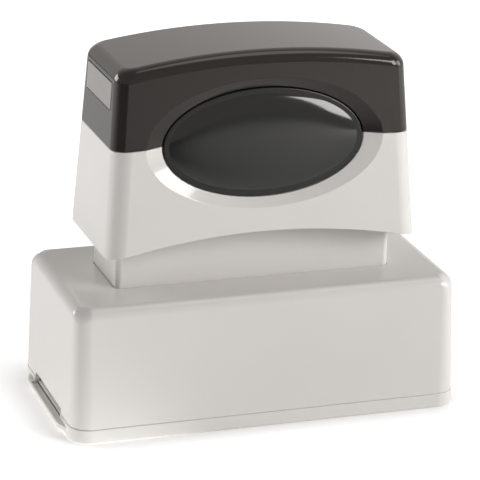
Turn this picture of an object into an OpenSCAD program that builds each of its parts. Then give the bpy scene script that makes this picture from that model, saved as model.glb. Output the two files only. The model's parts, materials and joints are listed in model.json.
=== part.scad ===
// Pre-inked hand stamp. A sprung plunger carries an ink-filled die down through a moulded base.
// The handle pulls off the plunger's stem for re-inking, and a tray covers the die when it is put away.
// Millimetres. X runs along the imprint, Y from front to back, Z up from the desk.

/* [Base] */
// Length of the base at the desk
base_length = 90; // [84:0.5:110]
// Depth of the base at the desk
base_depth = 45.2; // [42:0.2:60]
// Height of the base's top face above the desk
base_height = 30.7; // [28:0.1:36]
// Draft of the base's outer walls, in degrees
base_draft = 2; // [0.5:0.25:3]
// Radius of the base's upright corners at its top
base_corner_r = 3.8; // [3:0.1:7]
// Rounding along the base's top edges
base_edge_r = 1.8; // [0.8:0.1:2.4]
// Wall of the base
base_wall = 2.2; // [1.8:0.1:2.8]

/* [Dust cover] */
// Height of the cover's rim above the desk
cover_height = 3.2; // [2.8:0.1:4]
// Floor of the cover
cover_floor = 1.2; // [0.8:0.1:1.5]
// Wall of the cover's rim
cover_wall = 1.1; // [0.8:0.05:1.2]
// Bevel along the cover's lower edge
cover_bevel = 0.5; // [0.2:0.1:0.8]
// Rounding along the cover's upper edge
cover_edge_r = 0.35; // [0.2:0.05:0.6]
// Width of the pull tab
tab_width = 33; // [16:1:36]
// How far the pull tab stands out from the rim
tab_reach = 1.2; // [0.6:0.1:3]
// Height of the pull tab's lip
tab_height = 2.4; // [2:0.1:2.8]
// Width of the pull tab's lip
tab_lip = 0.9; // [0.6:0.1:1.4]
// Depth of the nail groove behind the lip
groove_depth = 0.5; // [0.2:0.1:0.8]
// Height of the nail scoop above the cover
scoop_height = 1.8; // [1:0.1:4]
// How far the nail scoop cuts into the base
scoop_reach = 0.4; // [0.2:0.05:1]

/* [Stem] */
// Length of the stem's neck
stem_length = 64; // [50:0.5:66]
// Depth of the stem's neck
stem_depth = 19.2; // [14:0.2:21]
// Radius of the neck's upright corners
stem_corner_r = 1.5; // [0.8:0.1:2.5]
// Wall of the neck
stem_wall = 1.6; // [1.2:0.1:2.4]
// Thickness of the flange under the base's top
flange_thickness = 2.8; // [2:0.1:4]
// Bore of the two ink ports
ink_port_d = 4; // [3:0.2:6]
// Distance between the two ink ports
ink_port_spacing = 32; // [16:1:44]

/* [Die] */
// Travel of the plunger
press_stroke = 6; // [4:0.2:7]
// Depth of the printing face
die_depth = 22; // [16:0.5:26]
// How far the printing face stands down from the die's edge
die_face_height = 2.4; // [2:0.1:3]
// Thickness of the die's edge
die_edge_height = 1.5; // [1:0.1:2]
// Width of the die's edge around the printing face
die_edge = 1.5; // [1:0.1:2]
// Wall of the die holder and of the die frame
holder_wall = 1.6; // [1.2:0.1:2]
// Thickness of the die holder's top
holder_top = 2; // [1.5:0.1:3]
// How far the printing face stands below the die frame
die_proud = 1.1; // [0.6:0.1:1.2]

/* [Return springs] */
// Outer diameter of a spring
spring_d = 5; // [4:0.1:5.4]
// Wire of a spring
wire_d = 0.6; // [0.4:0.05:0.7]
// Turns of a spring
spring_turns = 7; // [4:1:9]
// Diameter of the pegs that centre a spring
peg_d = 2.8; // [2:0.1:3]
// Height of the pegs
peg_height = 2.8; // [1.5:0.1:4]
// Thickness of the bottom frame that the springs stand on
frame_thickness = 1.8; // [1.4:0.1:2.2]
// Height of the bottom frame above the dust cover's rim
frame_lift = 1.2; // [1.1:0.1:2]

/* [Handle] */
// Length of the handle at its lower corners
handle_length = 71.4; // [70:0.1:84]
// Depth of the handle at its lower corners
handle_depth = 34.4; // [33:0.1:44]
// Gap between the base and the handle's lower corners
handle_gap = 8.7; // [8:0.1:14]
// Height of the handle at its ends
handle_height = 41; // [38.5:0.1:50]
// Draft of the handle's walls, in degrees
handle_draft = 4; // [1:0.25:4]
// Radius of the handle's upright corners at its top
handle_corner_r = 2.3; // [1.5:0.1:4]
// Rise of the arch under the handle
arch_rise = 4.3; // [1:0.1:6]
// Rise of the crowned top
crown_rise = 3.15; // [1:0.05:5]
// Rounding of the top at its two ends
crown_end_r = 4.5; // [2:0.1:6]
// Rounding of the top along front and back
crown_edge_r = 3; // [1:0.1:4]
// Height of the cap's parting line at the handle's ends
parting_height = 23.9; // [22:0.1:25]
// Rise of the parting line at mid length
parting_rise = 0.9; // [0.3:0.1:2]
// Wall of the handle
handle_wall = 1.8; // [1.4:0.1:2.4]
// Wall of the handle's two ends
end_wall = 2.8; // [2.4:0.1:3.4]
// Thickness of the deck under the cap
deck_thickness = 2.5; // [1.5:0.1:3.5]
// Wall of the sleeve that takes the stem
sleeve_wall = 1.5; // [1:0.1:2]
// Thickness of the ribs between sleeve and wall
rib_thickness = 1.2; // [0.8:0.1:2]
// Height of the locating edge inside the cap
cap_lip_height = 2.2; // [1:0.1:3]

/* [Badge] */
// Length of the oval badge
badge_length = 45.6; // [36:0.2:48]
// Height of the oval badge
badge_height = 24; // [18:0.2:24.4]
// Thickness of the badge plate
badge_thickness = 1.2; // [0.8:0.1:1.4]
// Flat rim around the dome
badge_rim = 1.3; // [0.6:0.1:3]
// Height of the dome
dome_height = 1.2; // [0.6:0.1:1.4]
// Height of the badge's centre above the handle's lower corners
badge_centre = 24.1; // [23:0.1:25]
// Depth of the dished seat, down to the badge's rim
dish_depth = 1.4; // [0.8:0.1:1.6]
// How far the dish reaches past the badge at its two ends
dish_reach = 4; // [2:0.1:4.4]

/* [Index plate] */
// Width of the index plate
index_width = 19.4; // [10:0.2:21]
// Height of the index plate
index_height = 5.9; // [4:0.1:7]
// Depth of its seat in the cap's end
index_depth = 0.8; // [0.4:0.1:1.2]
// How far it stands proud of the cap
index_proud = 0.1; // [0.05:0.05:0.6]
// Height of its centre above the handle's lower corners
index_centre = 35.1; // [33.5:0.1:35.5]

/* [Hidden] */
$fn = 64;
oval_sides = 72;
dome_sides = 40;
// Sides of the long shallow arcs
arc_sides = 720;
// Depth that a cutter runs past the face that it opens
past = 1;
// Least radius of an inner corner
least_r = 0.4;

// Clearances
slide_gap = 0.3;
seat_gap = 0.1;
fit_gap = 0.2;
stop_gap = 0.2;
window_gap = 0.4;
ear_gap = 0.6;
spring_side_gap = 0.8;
// Height of the base's foot above the cover's floor
foot_gap = 0.4;
// How far the die passes the foot at full stroke, to press into the paper
die_overtravel = 0.15;

// Base, from the desk up
base_slope = tan(base_draft);
foot_z = cover_floor + foot_gap;
shoulder_z = cover_height + seat_gap;
lip_inset = cover_wall + slide_gap;
groove_z = tab_height - groove_depth;
ceiling_z = base_height - base_wall;
function base_half(z) = base_length / 2 - base_slope * z;
lug_length = 8;
lug_depth = 1;
lug_height = 0.8;
lug_spacing = 44;
frame_z = cover_height + frame_lift;
frame_top_z = frame_z + frame_thickness;

// Plunger, from the stop under the base's top down to the printing face
flange_top_z = ceiling_z - stop_gap;
flange_z = flange_top_z - flange_thickness;
cavity_half = base_half(flange_top_z) - base_wall;
spring_bay = spring_d + 2 * spring_side_gap;
spring_x = cavity_half - spring_bay / 2;
ear_half = cavity_half - ear_gap;
ear_width = spring_d + 2 * spring_side_gap;
die_face_z = foot_z - die_overtravel + press_stroke;
die_top_z = die_face_z + die_face_height + die_edge_height;
die_frame_z = die_face_z + die_proud;
holder_length = 2 * (cavity_half - spring_bay);
holder_inset = holder_wall + fit_gap + die_edge;
die_length = holder_length - 2 * holder_inset;
holder_depth = die_depth + 2 * holder_inset;
holder_corner_r = 2;
holder_inner_r = holder_corner_r - holder_wall / 2;
die_corner_r = 1;
holder_ceiling_z = flange_z - holder_top;

// Handle, from its lower corners up
handle_slope = tan(handle_draft);
handle_z = base_height + handle_gap;
parting_z = handle_z + parting_height;
deck_z = parting_z - deck_thickness;
stem_top_z = deck_z - seat_gap;
sleeve_half = stem_depth / 2 + slide_gap + sleeve_wall;
crown_z = handle_z + handle_height + crown_rise;
function handle_half(size, z) = size / 2 - handle_slope * (z - handle_z);
// Radius of an arc that rises by rise over a chord of the given half length
function arc_r(half, rise) = (half * half + rise * rise) / (2 * rise);
crown_r = arc_r(handle_half(handle_length, crown_z - crown_rise), crown_rise);
arch_r = arc_r(handle_length / 2, arch_rise);
parting_r = arc_r(handle_half(handle_length, parting_z), parting_rise);

// Badge and its dished seat
badge_z = handle_z + badge_centre;
pocket_length = badge_length + 2 * fit_gap;
pocket_height = badge_height + 2 * fit_gap;
pocket_depth = dish_depth + badge_thickness;
// Growth of the dish's oval from the badge's rim to the face
dish_spread = dish_reach / (pocket_length / 2);
pad_wall = 1.4;
// Rearmost reach of the pad behind the badge's seat, where it leans in above the parting line
badge_back_y = -handle_half(handle_depth, badge_z) + (pocket_depth + pad_wall) / cos(handle_draft)
    + handle_slope * (cap_lip_height + parting_height - badge_centre);
dome_cut = 0.3;

// Shapes shared by several pieces

// Rounds a size to a ten-thousandth, so that faces that meet share one figure
function settled(value) = round(value * 10000) / 10000;

// Centre of the rounding along a drafted wall's upper edge
function brow_centre(half, z_high, slope, edge_r) = [
    settled(half - slope * (z_high - edge_r) - edge_r * sqrt(1 + slope * slope)), settled(z_high - edge_r)
];

// Outline of a drafted wall from its lower edge up: bevelled below, and cut for its rounding above
function wall_points(half, z_low, z_high, slope, edge_r, bevel) =
    let (
        centre = brow_centre(half, z_high, slope, edge_r),
        touch = centre + edge_r * [1, slope] / sqrt(1 + slope * slope)
    )
    concat(
        bevel > 0 ? [[settled(half - slope * z_low - bevel), settled(z_low)]] : [],
        [[settled(half - slope * (z_low + bevel)), settled(z_low + bevel)]],
        edge_r > 0 ? [[settled(touch[0]), settled(touch[1])], centre] : [],
        [[centre[0], settled(z_high)]]
    );

// Upper right quarter of a disc, with a margin that overlaps what it rounds
module quarter_disc(r)
    intersection() {
        circle(r);
        translate([-r / 4, -r / 4]) square(2 * r);
    }

// Rounding of a drafted wall's upper edge
module brow(half, z_high, slope, edge_r)
    if (edge_r > 0) translate(brow_centre(half, z_high, slope, edge_r)) quarter_disc(edge_r);

// Section of a drafted corner from its axis out, to be revolved
module corner_profile(half, z_low, z_high, slope, edge_r, bevel) {
    polygon(concat(
        [[0, settled(z_low)]], wall_points(half, z_low, z_high, slope, edge_r, bevel), [[0, settled(z_high)]]
    ));
    brow(half, z_high, slope, edge_r);
}

// Section of a drafted block from wall to wall: two corner sections, each set out by reach
module block_profile(reach, half, z_low, z_high, slope, edge_r, bevel) {
    right = [for (point = wall_points(half, z_low, z_high, slope, edge_r, bevel)) point + [reach, 0]];
    left = [for (i = [len(right) - 1 : -1 : 0]) [-right[i][0], right[i][1]]];
    polygon(concat(right, left));
    for (side = [0, 1])
        mirror([side, 0])
            translate([reach, 0])
                brow(half, z_high, slope, edge_r);
}

// Rounded box with drafted walls. Length and depth are those at z = 0, and the corner radius that at z_high.
module drafted_block(length, depth, corner_r, z_low, z_high, slope, edge_r = 0, bevel = 0) {
    foot_r = corner_r + slope * z_high;
    corner_x = settled(length / 2 - foot_r);
    corner_y = settled(depth / 2 - foot_r);
    for (side_x = [-1, 1], side_y = [-1, 1])
        translate([side_x * corner_x, side_y * corner_y, 0])
            rotate_extrude()
                corner_profile(foot_r, z_low, z_high, slope, edge_r, bevel);
    rotate([90, 0, 0])
        linear_extrude(2 * corner_y, center = true)
            block_profile(corner_x, foot_r, z_low, z_high, slope, edge_r, bevel);
    rotate([90, 0, 90])
        linear_extrude(2 * corner_x, center = true)
            block_profile(corner_y, foot_r, z_low, z_high, slope, edge_r, bevel);
}

// Base block, set in from its outer faces by inset
module base_block(inset, z_low, z_high, edge_r = 0, bevel = 0)
    drafted_block(
        base_length - 2 * inset, base_depth - 2 * inset,
        max(base_corner_r + base_slope * (base_height - z_high) - inset, least_r),
        z_low, z_high, base_slope, edge_r, bevel
    );

// Handle block with flat top and bottom, set in by end_inset along X and by inset along Y
module handle_block(end_inset, inset, z_low, z_high)
    translate([0, 0, handle_z])
        drafted_block(
            handle_length - 2 * end_inset, handle_depth - 2 * inset,
            max(handle_corner_r + handle_slope * (crown_z - z_high) - inset, least_r),
            z_low - handle_z, z_high - handle_z, handle_slope
        );

module rounded_rect(length, depth, r) {
    square([length - 2 * r, depth], center = true);
    square([length, depth - 2 * r], center = true);
    for (side_x = [-1, 1], side_y = [-1, 1])
        translate([side_x * (length / 2 - r), side_y * (depth / 2 - r)]) circle(r);
}

module rounded_prism(length, depth, r, z_low, z_high)
    translate([0, 0, z_low]) linear_extrude(z_high - z_low) rounded_rect(length, depth, r);

// Side outline, drawn in X and Z, carried through the full depth
module through_depth(depth)
    rotate([90, 0, 0]) linear_extrude(depth, center = true) children();

// Side outline of the handle: arched below, crowned above, with round upper ends
module handle_outline() {
    crown_centre_z = crown_z - crown_r;
    lean = sqrt(1 + handle_slope * handle_slope);
    // Centre of an end rounding: it touches the drafted end and the crown
    end_run = handle_half(handle_length, crown_centre_z) - crown_end_r * lean;
    reach = crown_r - crown_end_r;
    drop = end_run * handle_slope;
    square_lean = lean * lean;
    rise = (drop + sqrt(drop * drop - square_lean * (end_run * end_run - reach * reach))) / square_lean;
    end_x = end_run - handle_slope * rise;
    end_z = crown_centre_z + rise;
    end_normal = [1, handle_slope] / lean;
    crown_normal = [end_x, rise] / reach;
    corner = crown_end_r * 3;
    difference() {
        intersection() {
            translate([-handle_length, handle_z - past]) square([handle_length * 2, handle_height * 2]);
            translate([0, crown_centre_z]) circle(crown_r, $fn = arc_sides);
        }
        translate([0, handle_z + arch_rise - arch_r]) circle(arch_r, $fn = arc_sides);
        for (side = [0, 1])
            mirror([side, 0])
                translate([end_x, end_z])
                    difference() {
                        polygon([
                            [0, 0], end_normal * corner,
                            (end_normal + crown_normal) * corner, crown_normal * corner
                        ]);
                        circle(crown_end_r);
                    }
    }
}

// Revolved body that rounds the crowned top along front and back
module crown_rounding() {
    flat_half = handle_half(handle_depth, crown_z) - crown_edge_r;
    core = handle_height * 2;
    translate([0, 0, crown_z - crown_r])
        rotate([90, 0, 0])
            rotate_extrude($fn = arc_sides)
                translate([crown_r - crown_edge_r, 0]) {
                    translate([-core, -handle_depth]) square([core, 2 * handle_depth]);
                    translate([-crown_edge_r, -flat_half]) square([2 * crown_edge_r, 2 * flat_half]);
                    for (side = [-1, 1])
                        translate([0, side * flat_half]) circle(crown_edge_r);
                }
}

// Whole outer form of the handle, before it is parted
module handle_form()
    intersection() {
        handle_block(0, 0, handle_z - past, crown_z + past);
        through_depth(handle_depth + past) handle_outline();
        crown_rounding();
    }

// Everything under the parting line, a shallow arch
module under_parting()
    through_depth(handle_depth + past)
        intersection() {
            translate([0, parting_z + parting_rise - parting_r]) circle(parting_r, $fn = arc_sides);
            translate([-handle_length, 0]) square([handle_length * 2, crown_z]);
        }

// Places children on the handle's front face at the badge's centre, with Z outwards and Y up
module on_front()
    translate([0, -handle_half(handle_depth, badge_z), badge_z])
        rotate([90 - handle_draft, 0, 0])
            children();

// Places children on the cap's left end at the index plate's centre, with Z outwards and X up
module on_left_end() {
    index_z = handle_z + index_centre;
    translate([-handle_half(handle_length, index_z), 0, index_z])
        rotate([0, handle_draft - 90, 0])
            children();
}

module oval(length, height)
    scale([length / 2, height / 2]) circle(1, $fn = oval_sides);

// Cutter for the badge's dished seat: a bevel down to the badge's rim, then a straight pocket
module dish()
    on_front() {
        translate([0, 0, -dish_depth])
            scale([pocket_length / 2, pocket_height / 2, 1])
                cylinder(h = dish_depth + past, r1 = 1, r2 = 1 + dish_spread * (1 + past / dish_depth));
        translate([0, 0, -pocket_depth]) linear_extrude(pocket_depth) oval(pocket_length, pocket_height);
    }

// Material kept behind the badge's seat
module badge_pad()
    on_front()
        translate([0, 0, -pocket_depth - pad_wall])
            linear_extrude(pocket_depth + pad_wall)
                oval(pocket_length * (1 + dish_spread), pocket_height * (1 + dish_spread));

module ink_ports(z_low, z_high)
    for (side = [-1, 1])
        translate([side * ink_port_spacing / 2, 0, z_low])
            cylinder(h = z_high - z_low, d = ink_port_d);

module spring_pegs(z_low)
    for (side = [-1, 1])
        translate([side * spring_x, 0, z_low])
            cylinder(h = peg_height, d = peg_d);

// Base

module base_housing() color("gainsboro") {
    difference() {
        union() {
            base_block(0, shoulder_z, base_height, base_edge_r);
            base_block(lip_inset, foot_z, shoulder_z + past);
        }
        base_block(base_wall, foot_z - past, ceiling_z);
        rounded_prism(
            stem_length + 2 * slide_gap, stem_depth + 2 * slide_gap, stem_corner_r + slide_gap,
            ceiling_z - past, base_height + past
        );
        nail_scoop();
    }
    frame_lugs();
}

// Sloped cut in the left wall over the pull tab
module nail_scoop() {
    scoop_z = shoulder_z + scoop_height;
    inner_x = base_half(shoulder_z) - scoop_reach;
    intersection() {
        through_depth(base_depth)
            polygon([
                [-inner_x, shoulder_z - past], [-inner_x, shoulder_z], [-base_half(scoop_z), scoop_z],
                [-base_length, scoop_z], [-base_length, shoulder_z - past]
            ]);
        tab_span(shoulder_z - past, scoop_z + past);
    }
}

// The stretch of the left wall that the pull tab takes up, widening upwards
module tab_span(z_low, z_high) {
    half = tab_width / 2;
    wide_half = half + (z_high - z_low) / 2;
    translate([-base_length, 0, 0])
        rotate([90, 0, 90])
            linear_extrude(base_length)
                polygon([[-half, z_low], [half, z_low], [wide_half, z_high], [-wide_half, z_high]]);
}

// Lugs on the long walls that hold the bottom frame up
module frame_lugs() {
    wall_y = base_depth / 2 - base_slope * frame_z - base_wall;
    for (side_x = [-1, 1], side_y = [0, 1])
        mirror([0, side_y, 0])
            translate([side_x * lug_spacing / 2, wall_y - lug_depth, frame_z - seat_gap - lug_height])
                translate([-lug_length / 2, 0, 0])
                    cube([lug_length, lug_depth + base_wall / 2, lug_height]);
}

module bottom_frame() color("whitesmoke") {
    inset = base_slope * frame_top_z + base_wall + fit_gap;
    difference() {
        rounded_prism(
            base_length - 2 * inset, base_depth - 2 * inset, base_corner_r - base_wall, frame_z, frame_top_z
        );
        rounded_prism(
            holder_length + 2 * window_gap, holder_depth + 2 * window_gap, holder_corner_r + window_gap,
            frame_z - past, frame_top_z + past
        );
    }
    spring_pegs(frame_top_z);
}

module dust_cover() color("white") {
    difference() {
        base_block(0, 0, cover_height, cover_edge_r, cover_bevel);
        base_block(cover_wall, cover_floor, cover_height + past);
        intersection() {
            translate([-base_length, -base_depth / 2, groove_z])
                cube([base_length / 2 + cover_wall + past, base_depth, cover_height]);
            tab_span(groove_z, cover_height + past);
        }
    }
    pull_tab();
}

// Bar along the cover's left end, with a raised lip and a nail groove behind it
module pull_tab() {
    outer_x = base_length / 2 + tab_reach;
    inner_x = base_length / 2 - cover_wall;
    intersection() {
        through_depth(tab_width)
            polygon([
                [-inner_x, 0], [-outer_x + cover_bevel, 0], [-outer_x, cover_bevel],
                [-outer_x, tab_height - cover_bevel], [-outer_x + cover_bevel, tab_height],
                [-outer_x + tab_lip, tab_height], [-outer_x + tab_lip + groove_depth, groove_z],
                [-inner_x, groove_z]
            ]);
        linear_extrude(tab_height)
            translate([-inner_x, 0]) rounded_rect(2 * (outer_x - inner_x), tab_width, tab_reach);
    }
}

// Plunger

module stem() color("gainsboro")
    difference() {
        union() {
            rounded_prism(stem_length, stem_depth, stem_corner_r, flange_z, stem_top_z);
            rounded_prism(holder_length, holder_depth, holder_corner_r, flange_z, flange_top_z);
            rounded_prism(2 * ear_half, ear_width, holder_corner_r, flange_z, flange_top_z);
            spring_pegs(flange_z - peg_height);
        }
        rounded_prism(
            stem_length - 2 * stem_wall, stem_depth - 2 * stem_wall, stem_corner_r,
            flange_top_z, stem_top_z + past
        );
        ink_ports(flange_z - past, flange_top_z + past);
    }

module die_holder() color("darkgray")
    difference() {
        rounded_prism(holder_length, holder_depth, holder_corner_r, die_top_z, flange_z);
        rounded_prism(
            holder_length - 2 * holder_wall, holder_depth - 2 * holder_wall, holder_inner_r,
            die_top_z - past, holder_ceiling_z
        );
        ink_ports(holder_ceiling_z - past, flange_z + past);
    }

module ink_reservoir() color("midnightblue") {
    inset = holder_wall + fit_gap;
    rounded_prism(
        holder_length - 2 * inset, holder_depth - 2 * inset, die_corner_r,
        die_top_z, holder_ceiling_z - seat_gap
    );
}

module stamp_die() color("slategray") {
    edge_z = die_face_z + die_face_height;
    rounded_prism(die_length, die_depth, die_corner_r, die_face_z, edge_z);
    rounded_prism(
        die_length + 2 * die_edge, die_depth + 2 * die_edge, die_corner_r,
        edge_z, die_top_z
    );
}

module die_frame() color("dimgray") {
    lip_top_z = die_face_z + die_face_height - seat_gap;
    difference() {
        rounded_prism(holder_length, holder_depth, holder_corner_r, die_frame_z, die_top_z);
        rounded_prism(
            die_length + 2 * fit_gap, die_depth + 2 * fit_gap, die_corner_r,
            die_frame_z - past, die_top_z
        );
        rounded_prism(
            holder_length - 2 * holder_wall, holder_depth - 2 * holder_wall, holder_inner_r,
            lip_top_z, die_top_z + past
        );
    }
}

// Return springs: each is one unbroken wire, square to its two seats, that bends over and winds up

spring_r = (spring_d - wire_d) / 2;
wire_sides = 6;
rings_per_turn = 8;
bend_steps = 3;
bend_r = 1.5 * wire_d;
spring_low_z = frame_top_z;
spring_high_z = flange_z;
wound_run = 2 * PI * spring_r * spring_turns;
wound_rise = spring_high_z - spring_low_z - 2 * wire_d - 2 * bend_r;
pitch_angle = atan2(wound_rise, wound_run);
bend_angle = 90 - pitch_angle;

// Wire route on the unrolled cylinder: distance around it, and height
low_bend = [for (step = [0 : bend_steps]) let (turn = bend_angle * step / bend_steps)
    [bend_r * (1 - cos(turn)), spring_low_z + wire_d + bend_r * sin(turn)]];
bend_end = low_bend[bend_steps];
mid_z = (spring_low_z + spring_high_z) / 2;
half_rise = mid_z - bend_end[1];
half_run = half_rise / tan(pitch_angle);
mid_run = bend_end[0] + half_run;
winding_rings = ceil(2 * half_run / (2 * PI * spring_r) * rings_per_turn);
low_half = concat([[0, spring_low_z]], low_bend);
winding = [for (ring = [1 : winding_rings - 1])
    bend_end + [2 * half_run, 2 * half_rise] * ring / winding_rings];
high_half = [for (i = [len(low_half) - 1 : -1 : 0]) [2 * mid_run, 2 * mid_z] - low_half[i]];
wire_route = concat(low_half, winding, high_half);

function around(run) = run / spring_r * 180 / PI;
function wire_point(i) = [
    spring_r * cos(around(wire_route[i][0])), spring_r * sin(around(wire_route[i][0])), wire_route[i][1]
];
function route_step(i) = wire_route[min(i + 1, len(wire_route) - 1)] - wire_route[max(i - 1, 0)];
function wire_ring(i) =
    let (
        angle = around(wire_route[i][0]),
        heading = route_step(i) / norm(route_step(i)),
        out = [cos(angle), sin(angle), 0],
        along = [-sin(angle) * heading[0], cos(angle) * heading[0], heading[1]],
        across = cross(along, out)
    )
    [for (side = [0 : wire_sides - 1]) let (turn = 360 * side / wire_sides)
        wire_point(i) + wire_d / 2 * (out * cos(turn) + across * sin(turn))];

// Least gap between one turn of the wire and the next, measured on the route's points
wire_self_gap = min([
    for (i = [0 : len(wire_route) - 1], j = [i + rings_per_turn / 2 : 1 : len(wire_route) - 1])
        norm(wire_point(i) - wire_point(j)) - wire_d
]);
echo(spring_least_gap_to_itself = wire_self_gap);

module spring_wire() {
    rings = len(wire_route);
    points = [for (i = [0 : rings - 1]) each wire_ring(i)];
    sides = [for (i = [0 : rings - 2], side = [0 : wire_sides - 1])
        let (
            next = (side + 1) % wire_sides,
            a = i * wire_sides + side,
            b = i * wire_sides + next,
            c = a + wire_sides,
            d = b + wire_sides
        )
        each [[a, b, d], [a, d, c]]];
    low_cap = [for (side = [1 : wire_sides - 2]) [0, side + 1, side]];
    last = (rings - 1) * wire_sides;
    high_cap = [for (side = [1 : wire_sides - 2]) [last, last + side, last + side + 1]];
    polyhedron(points, concat(sides, low_cap, high_cap), convexity = 10);
}

module left_spring()
    color("lightsteelblue") translate([-spring_x, 0, 0]) spring_wire();

module right_spring()
    color("lightsteelblue") translate([spring_x, 0, 0]) spring_wire();

// Handle

module handle_shell() color("gainsboro") {
    difference() {
        lower_shell();
        dish();
    }
    cap_lip();
}

// The shell before the badge's seat is cut: the handle's lower half, with its socket and pockets
module lower_shell()
    difference() {
        intersection() {
            handle_form();
            under_parting();
        }
        rounded_prism(
            stem_length + 2 * slide_gap, stem_depth + 2 * slide_gap, stem_corner_r + slide_gap,
            handle_z - past, deck_z
        );
        handle_pockets();
    }

// Hollows between the sleeve and the outer wall, open below and parted by ribs
module handle_pockets()
    difference() {
        handle_block(end_wall, handle_wall, handle_z - past, deck_z);
        translate([-handle_length, -sleeve_half, 0])
            cube([handle_length * 2, 2 * sleeve_half, deck_z + past]);
        for (side = [-1, 1])
            translate([side * stem_length / 4 - rib_thickness / 2, -handle_depth, 0])
                cube([rib_thickness, handle_depth * 2, deck_z + past]);
        badge_pad();
    }

// Edge that stands up inside the cap at its ends and back
module cap_lip() {
    lip_z = deck_z + deck_thickness / 2;
    lip_top_z = parting_z + cap_lip_height;
    lip_half_x = handle_half(handle_length, lip_top_z) - end_wall - slide_gap;
    lip_half_y = handle_half(handle_depth, lip_top_z) - handle_wall - slide_gap;
    front_y = badge_back_y + fit_gap;
    difference() {
        rounded_prism(2 * lip_half_x, 2 * lip_half_y, handle_corner_r, lip_z, lip_top_z);
        rounded_prism(
            2 * (lip_half_x - rib_thickness), 2 * (lip_half_y - rib_thickness), handle_corner_r / 2,
            lip_z - past, lip_top_z + past
        );
        translate([-handle_length, -handle_depth, lip_z - past])
            cube([handle_length * 2, handle_depth + front_y, lip_top_z]);
    }
}

module handle_cap() color("dimgray")
    difference() {
        cap_shell();
        dish();
        on_left_end() translate([0, 0, -index_depth]) index_slab(index_depth + past, fit_gap);
    }

// The cap before its seats are cut: the handle's upper half, hollowed from below
module cap_shell()
    difference() {
        difference() {
            handle_form();
            under_parting();
        }
        cap_hollow();
    }

module cap_hollow()
    difference() {
        intersection() {
            handle_block(end_wall, handle_wall, parting_z - past, crown_z - handle_wall);
            through_depth(handle_depth)
                translate([0, crown_z - crown_r]) circle(crown_r - handle_wall, $fn = arc_sides);
        }
        badge_pad();
    }

module index_slab(thickness, grow)
    linear_extrude(thickness)
        rounded_rect(index_height + 2 * grow, index_width + 2 * grow, index_proud + grow);

module index_plate() color("silver")
    on_left_end() translate([0, 0, -index_depth]) index_slab(index_depth + index_proud, 0);

module badge_plate() color("black")
    on_front()
        translate([0, 0, -pocket_depth])
            linear_extrude(badge_thickness) oval(badge_length, badge_height);

// Cap of an ellipsoid: flat below, steepest at its edge
module badge_dome() color("darkslategray") {
    cut_r = sqrt(1 - dome_cut * dome_cut);
    dome_x = badge_length / 2 - badge_rim;
    dome_y = badge_height / 2 - badge_rim;
    on_front()
        translate([0, 0, -dish_depth])
            intersection() {
                translate([0, 0, -dome_height * dome_cut / (1 - dome_cut)])
                    scale([dome_x / cut_r, dome_y / cut_r, dome_height / (1 - dome_cut)])
                        sphere(1, $fn = dome_sides);
                translate([-badge_length, -badge_height, 0])
                    cube([badge_length * 2, badge_height * 2, dome_height * 2]);
            }
}

base_housing();
bottom_frame();
dust_cover();
stem();
die_holder();
ink_reservoir();
stamp_die();
die_frame();
left_spring();
right_spring();
handle_shell();
handle_cap();
badge_plate();
badge_dome();
index_plate();
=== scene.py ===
"""Studio scene of a pre-inked hand stamp.

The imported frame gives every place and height. Each sub-assembly below is a class that models its pieces in
millimetres, softens their edges and dresses them, and the studio adds floor, light and camera.
"""

import json
import logging
import math
from dataclasses import dataclass, field
from enum import Enum
from typing import Callable, Iterable, Sequence

import bmesh
import bpy
from bmesh.types import BMEdge, BMesh, BMFace, BMVert
from mathutils import Matrix, Vector

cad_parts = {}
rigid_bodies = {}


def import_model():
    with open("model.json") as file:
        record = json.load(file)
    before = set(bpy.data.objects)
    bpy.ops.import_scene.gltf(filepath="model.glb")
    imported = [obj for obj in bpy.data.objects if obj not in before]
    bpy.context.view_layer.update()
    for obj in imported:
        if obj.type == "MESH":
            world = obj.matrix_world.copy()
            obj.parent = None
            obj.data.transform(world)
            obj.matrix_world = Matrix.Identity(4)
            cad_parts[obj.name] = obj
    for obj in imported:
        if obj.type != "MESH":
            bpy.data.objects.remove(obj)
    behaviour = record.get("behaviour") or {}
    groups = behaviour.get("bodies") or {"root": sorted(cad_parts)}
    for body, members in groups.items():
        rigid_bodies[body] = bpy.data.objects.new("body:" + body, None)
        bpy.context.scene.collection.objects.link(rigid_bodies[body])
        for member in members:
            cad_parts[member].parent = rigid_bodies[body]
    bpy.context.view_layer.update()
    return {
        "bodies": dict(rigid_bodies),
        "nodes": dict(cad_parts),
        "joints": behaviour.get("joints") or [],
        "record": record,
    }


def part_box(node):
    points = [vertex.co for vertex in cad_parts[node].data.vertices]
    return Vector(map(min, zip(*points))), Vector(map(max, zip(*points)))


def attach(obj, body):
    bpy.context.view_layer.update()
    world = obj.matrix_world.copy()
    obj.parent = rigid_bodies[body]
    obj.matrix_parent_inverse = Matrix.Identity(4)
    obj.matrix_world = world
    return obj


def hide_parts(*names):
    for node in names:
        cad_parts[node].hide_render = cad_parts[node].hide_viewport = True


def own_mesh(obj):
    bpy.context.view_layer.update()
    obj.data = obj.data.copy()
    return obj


Colour = tuple[float, float, float]
Span = tuple[float, float]
Piece = bpy.types.Object
Socket = bpy.types.NodeSocket
Placing = Callable[[Vector], Vector]

LOG = logging.getLogger("stamp")
MM = 0.001
FLAT_ANGLE = math.radians(0.05)
SHARP_ANGLE = math.radians(34)
SOFTENED_ANGLE = math.radians(36)
FLAT_WEIGHT = 60
WELD = 0.004
PLACE_DIGITS = 3
PAST = 1.0
CORNER_STEPS = 10
SMALL_CORNER_STEPS = 6
EDGE_STEPS = 3
OVAL_STEPS = 144
ENDS = (-1, 1)
FULL = (0.0, 1.0)
WHITE = (1.0, 1.0, 1.0)


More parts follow.
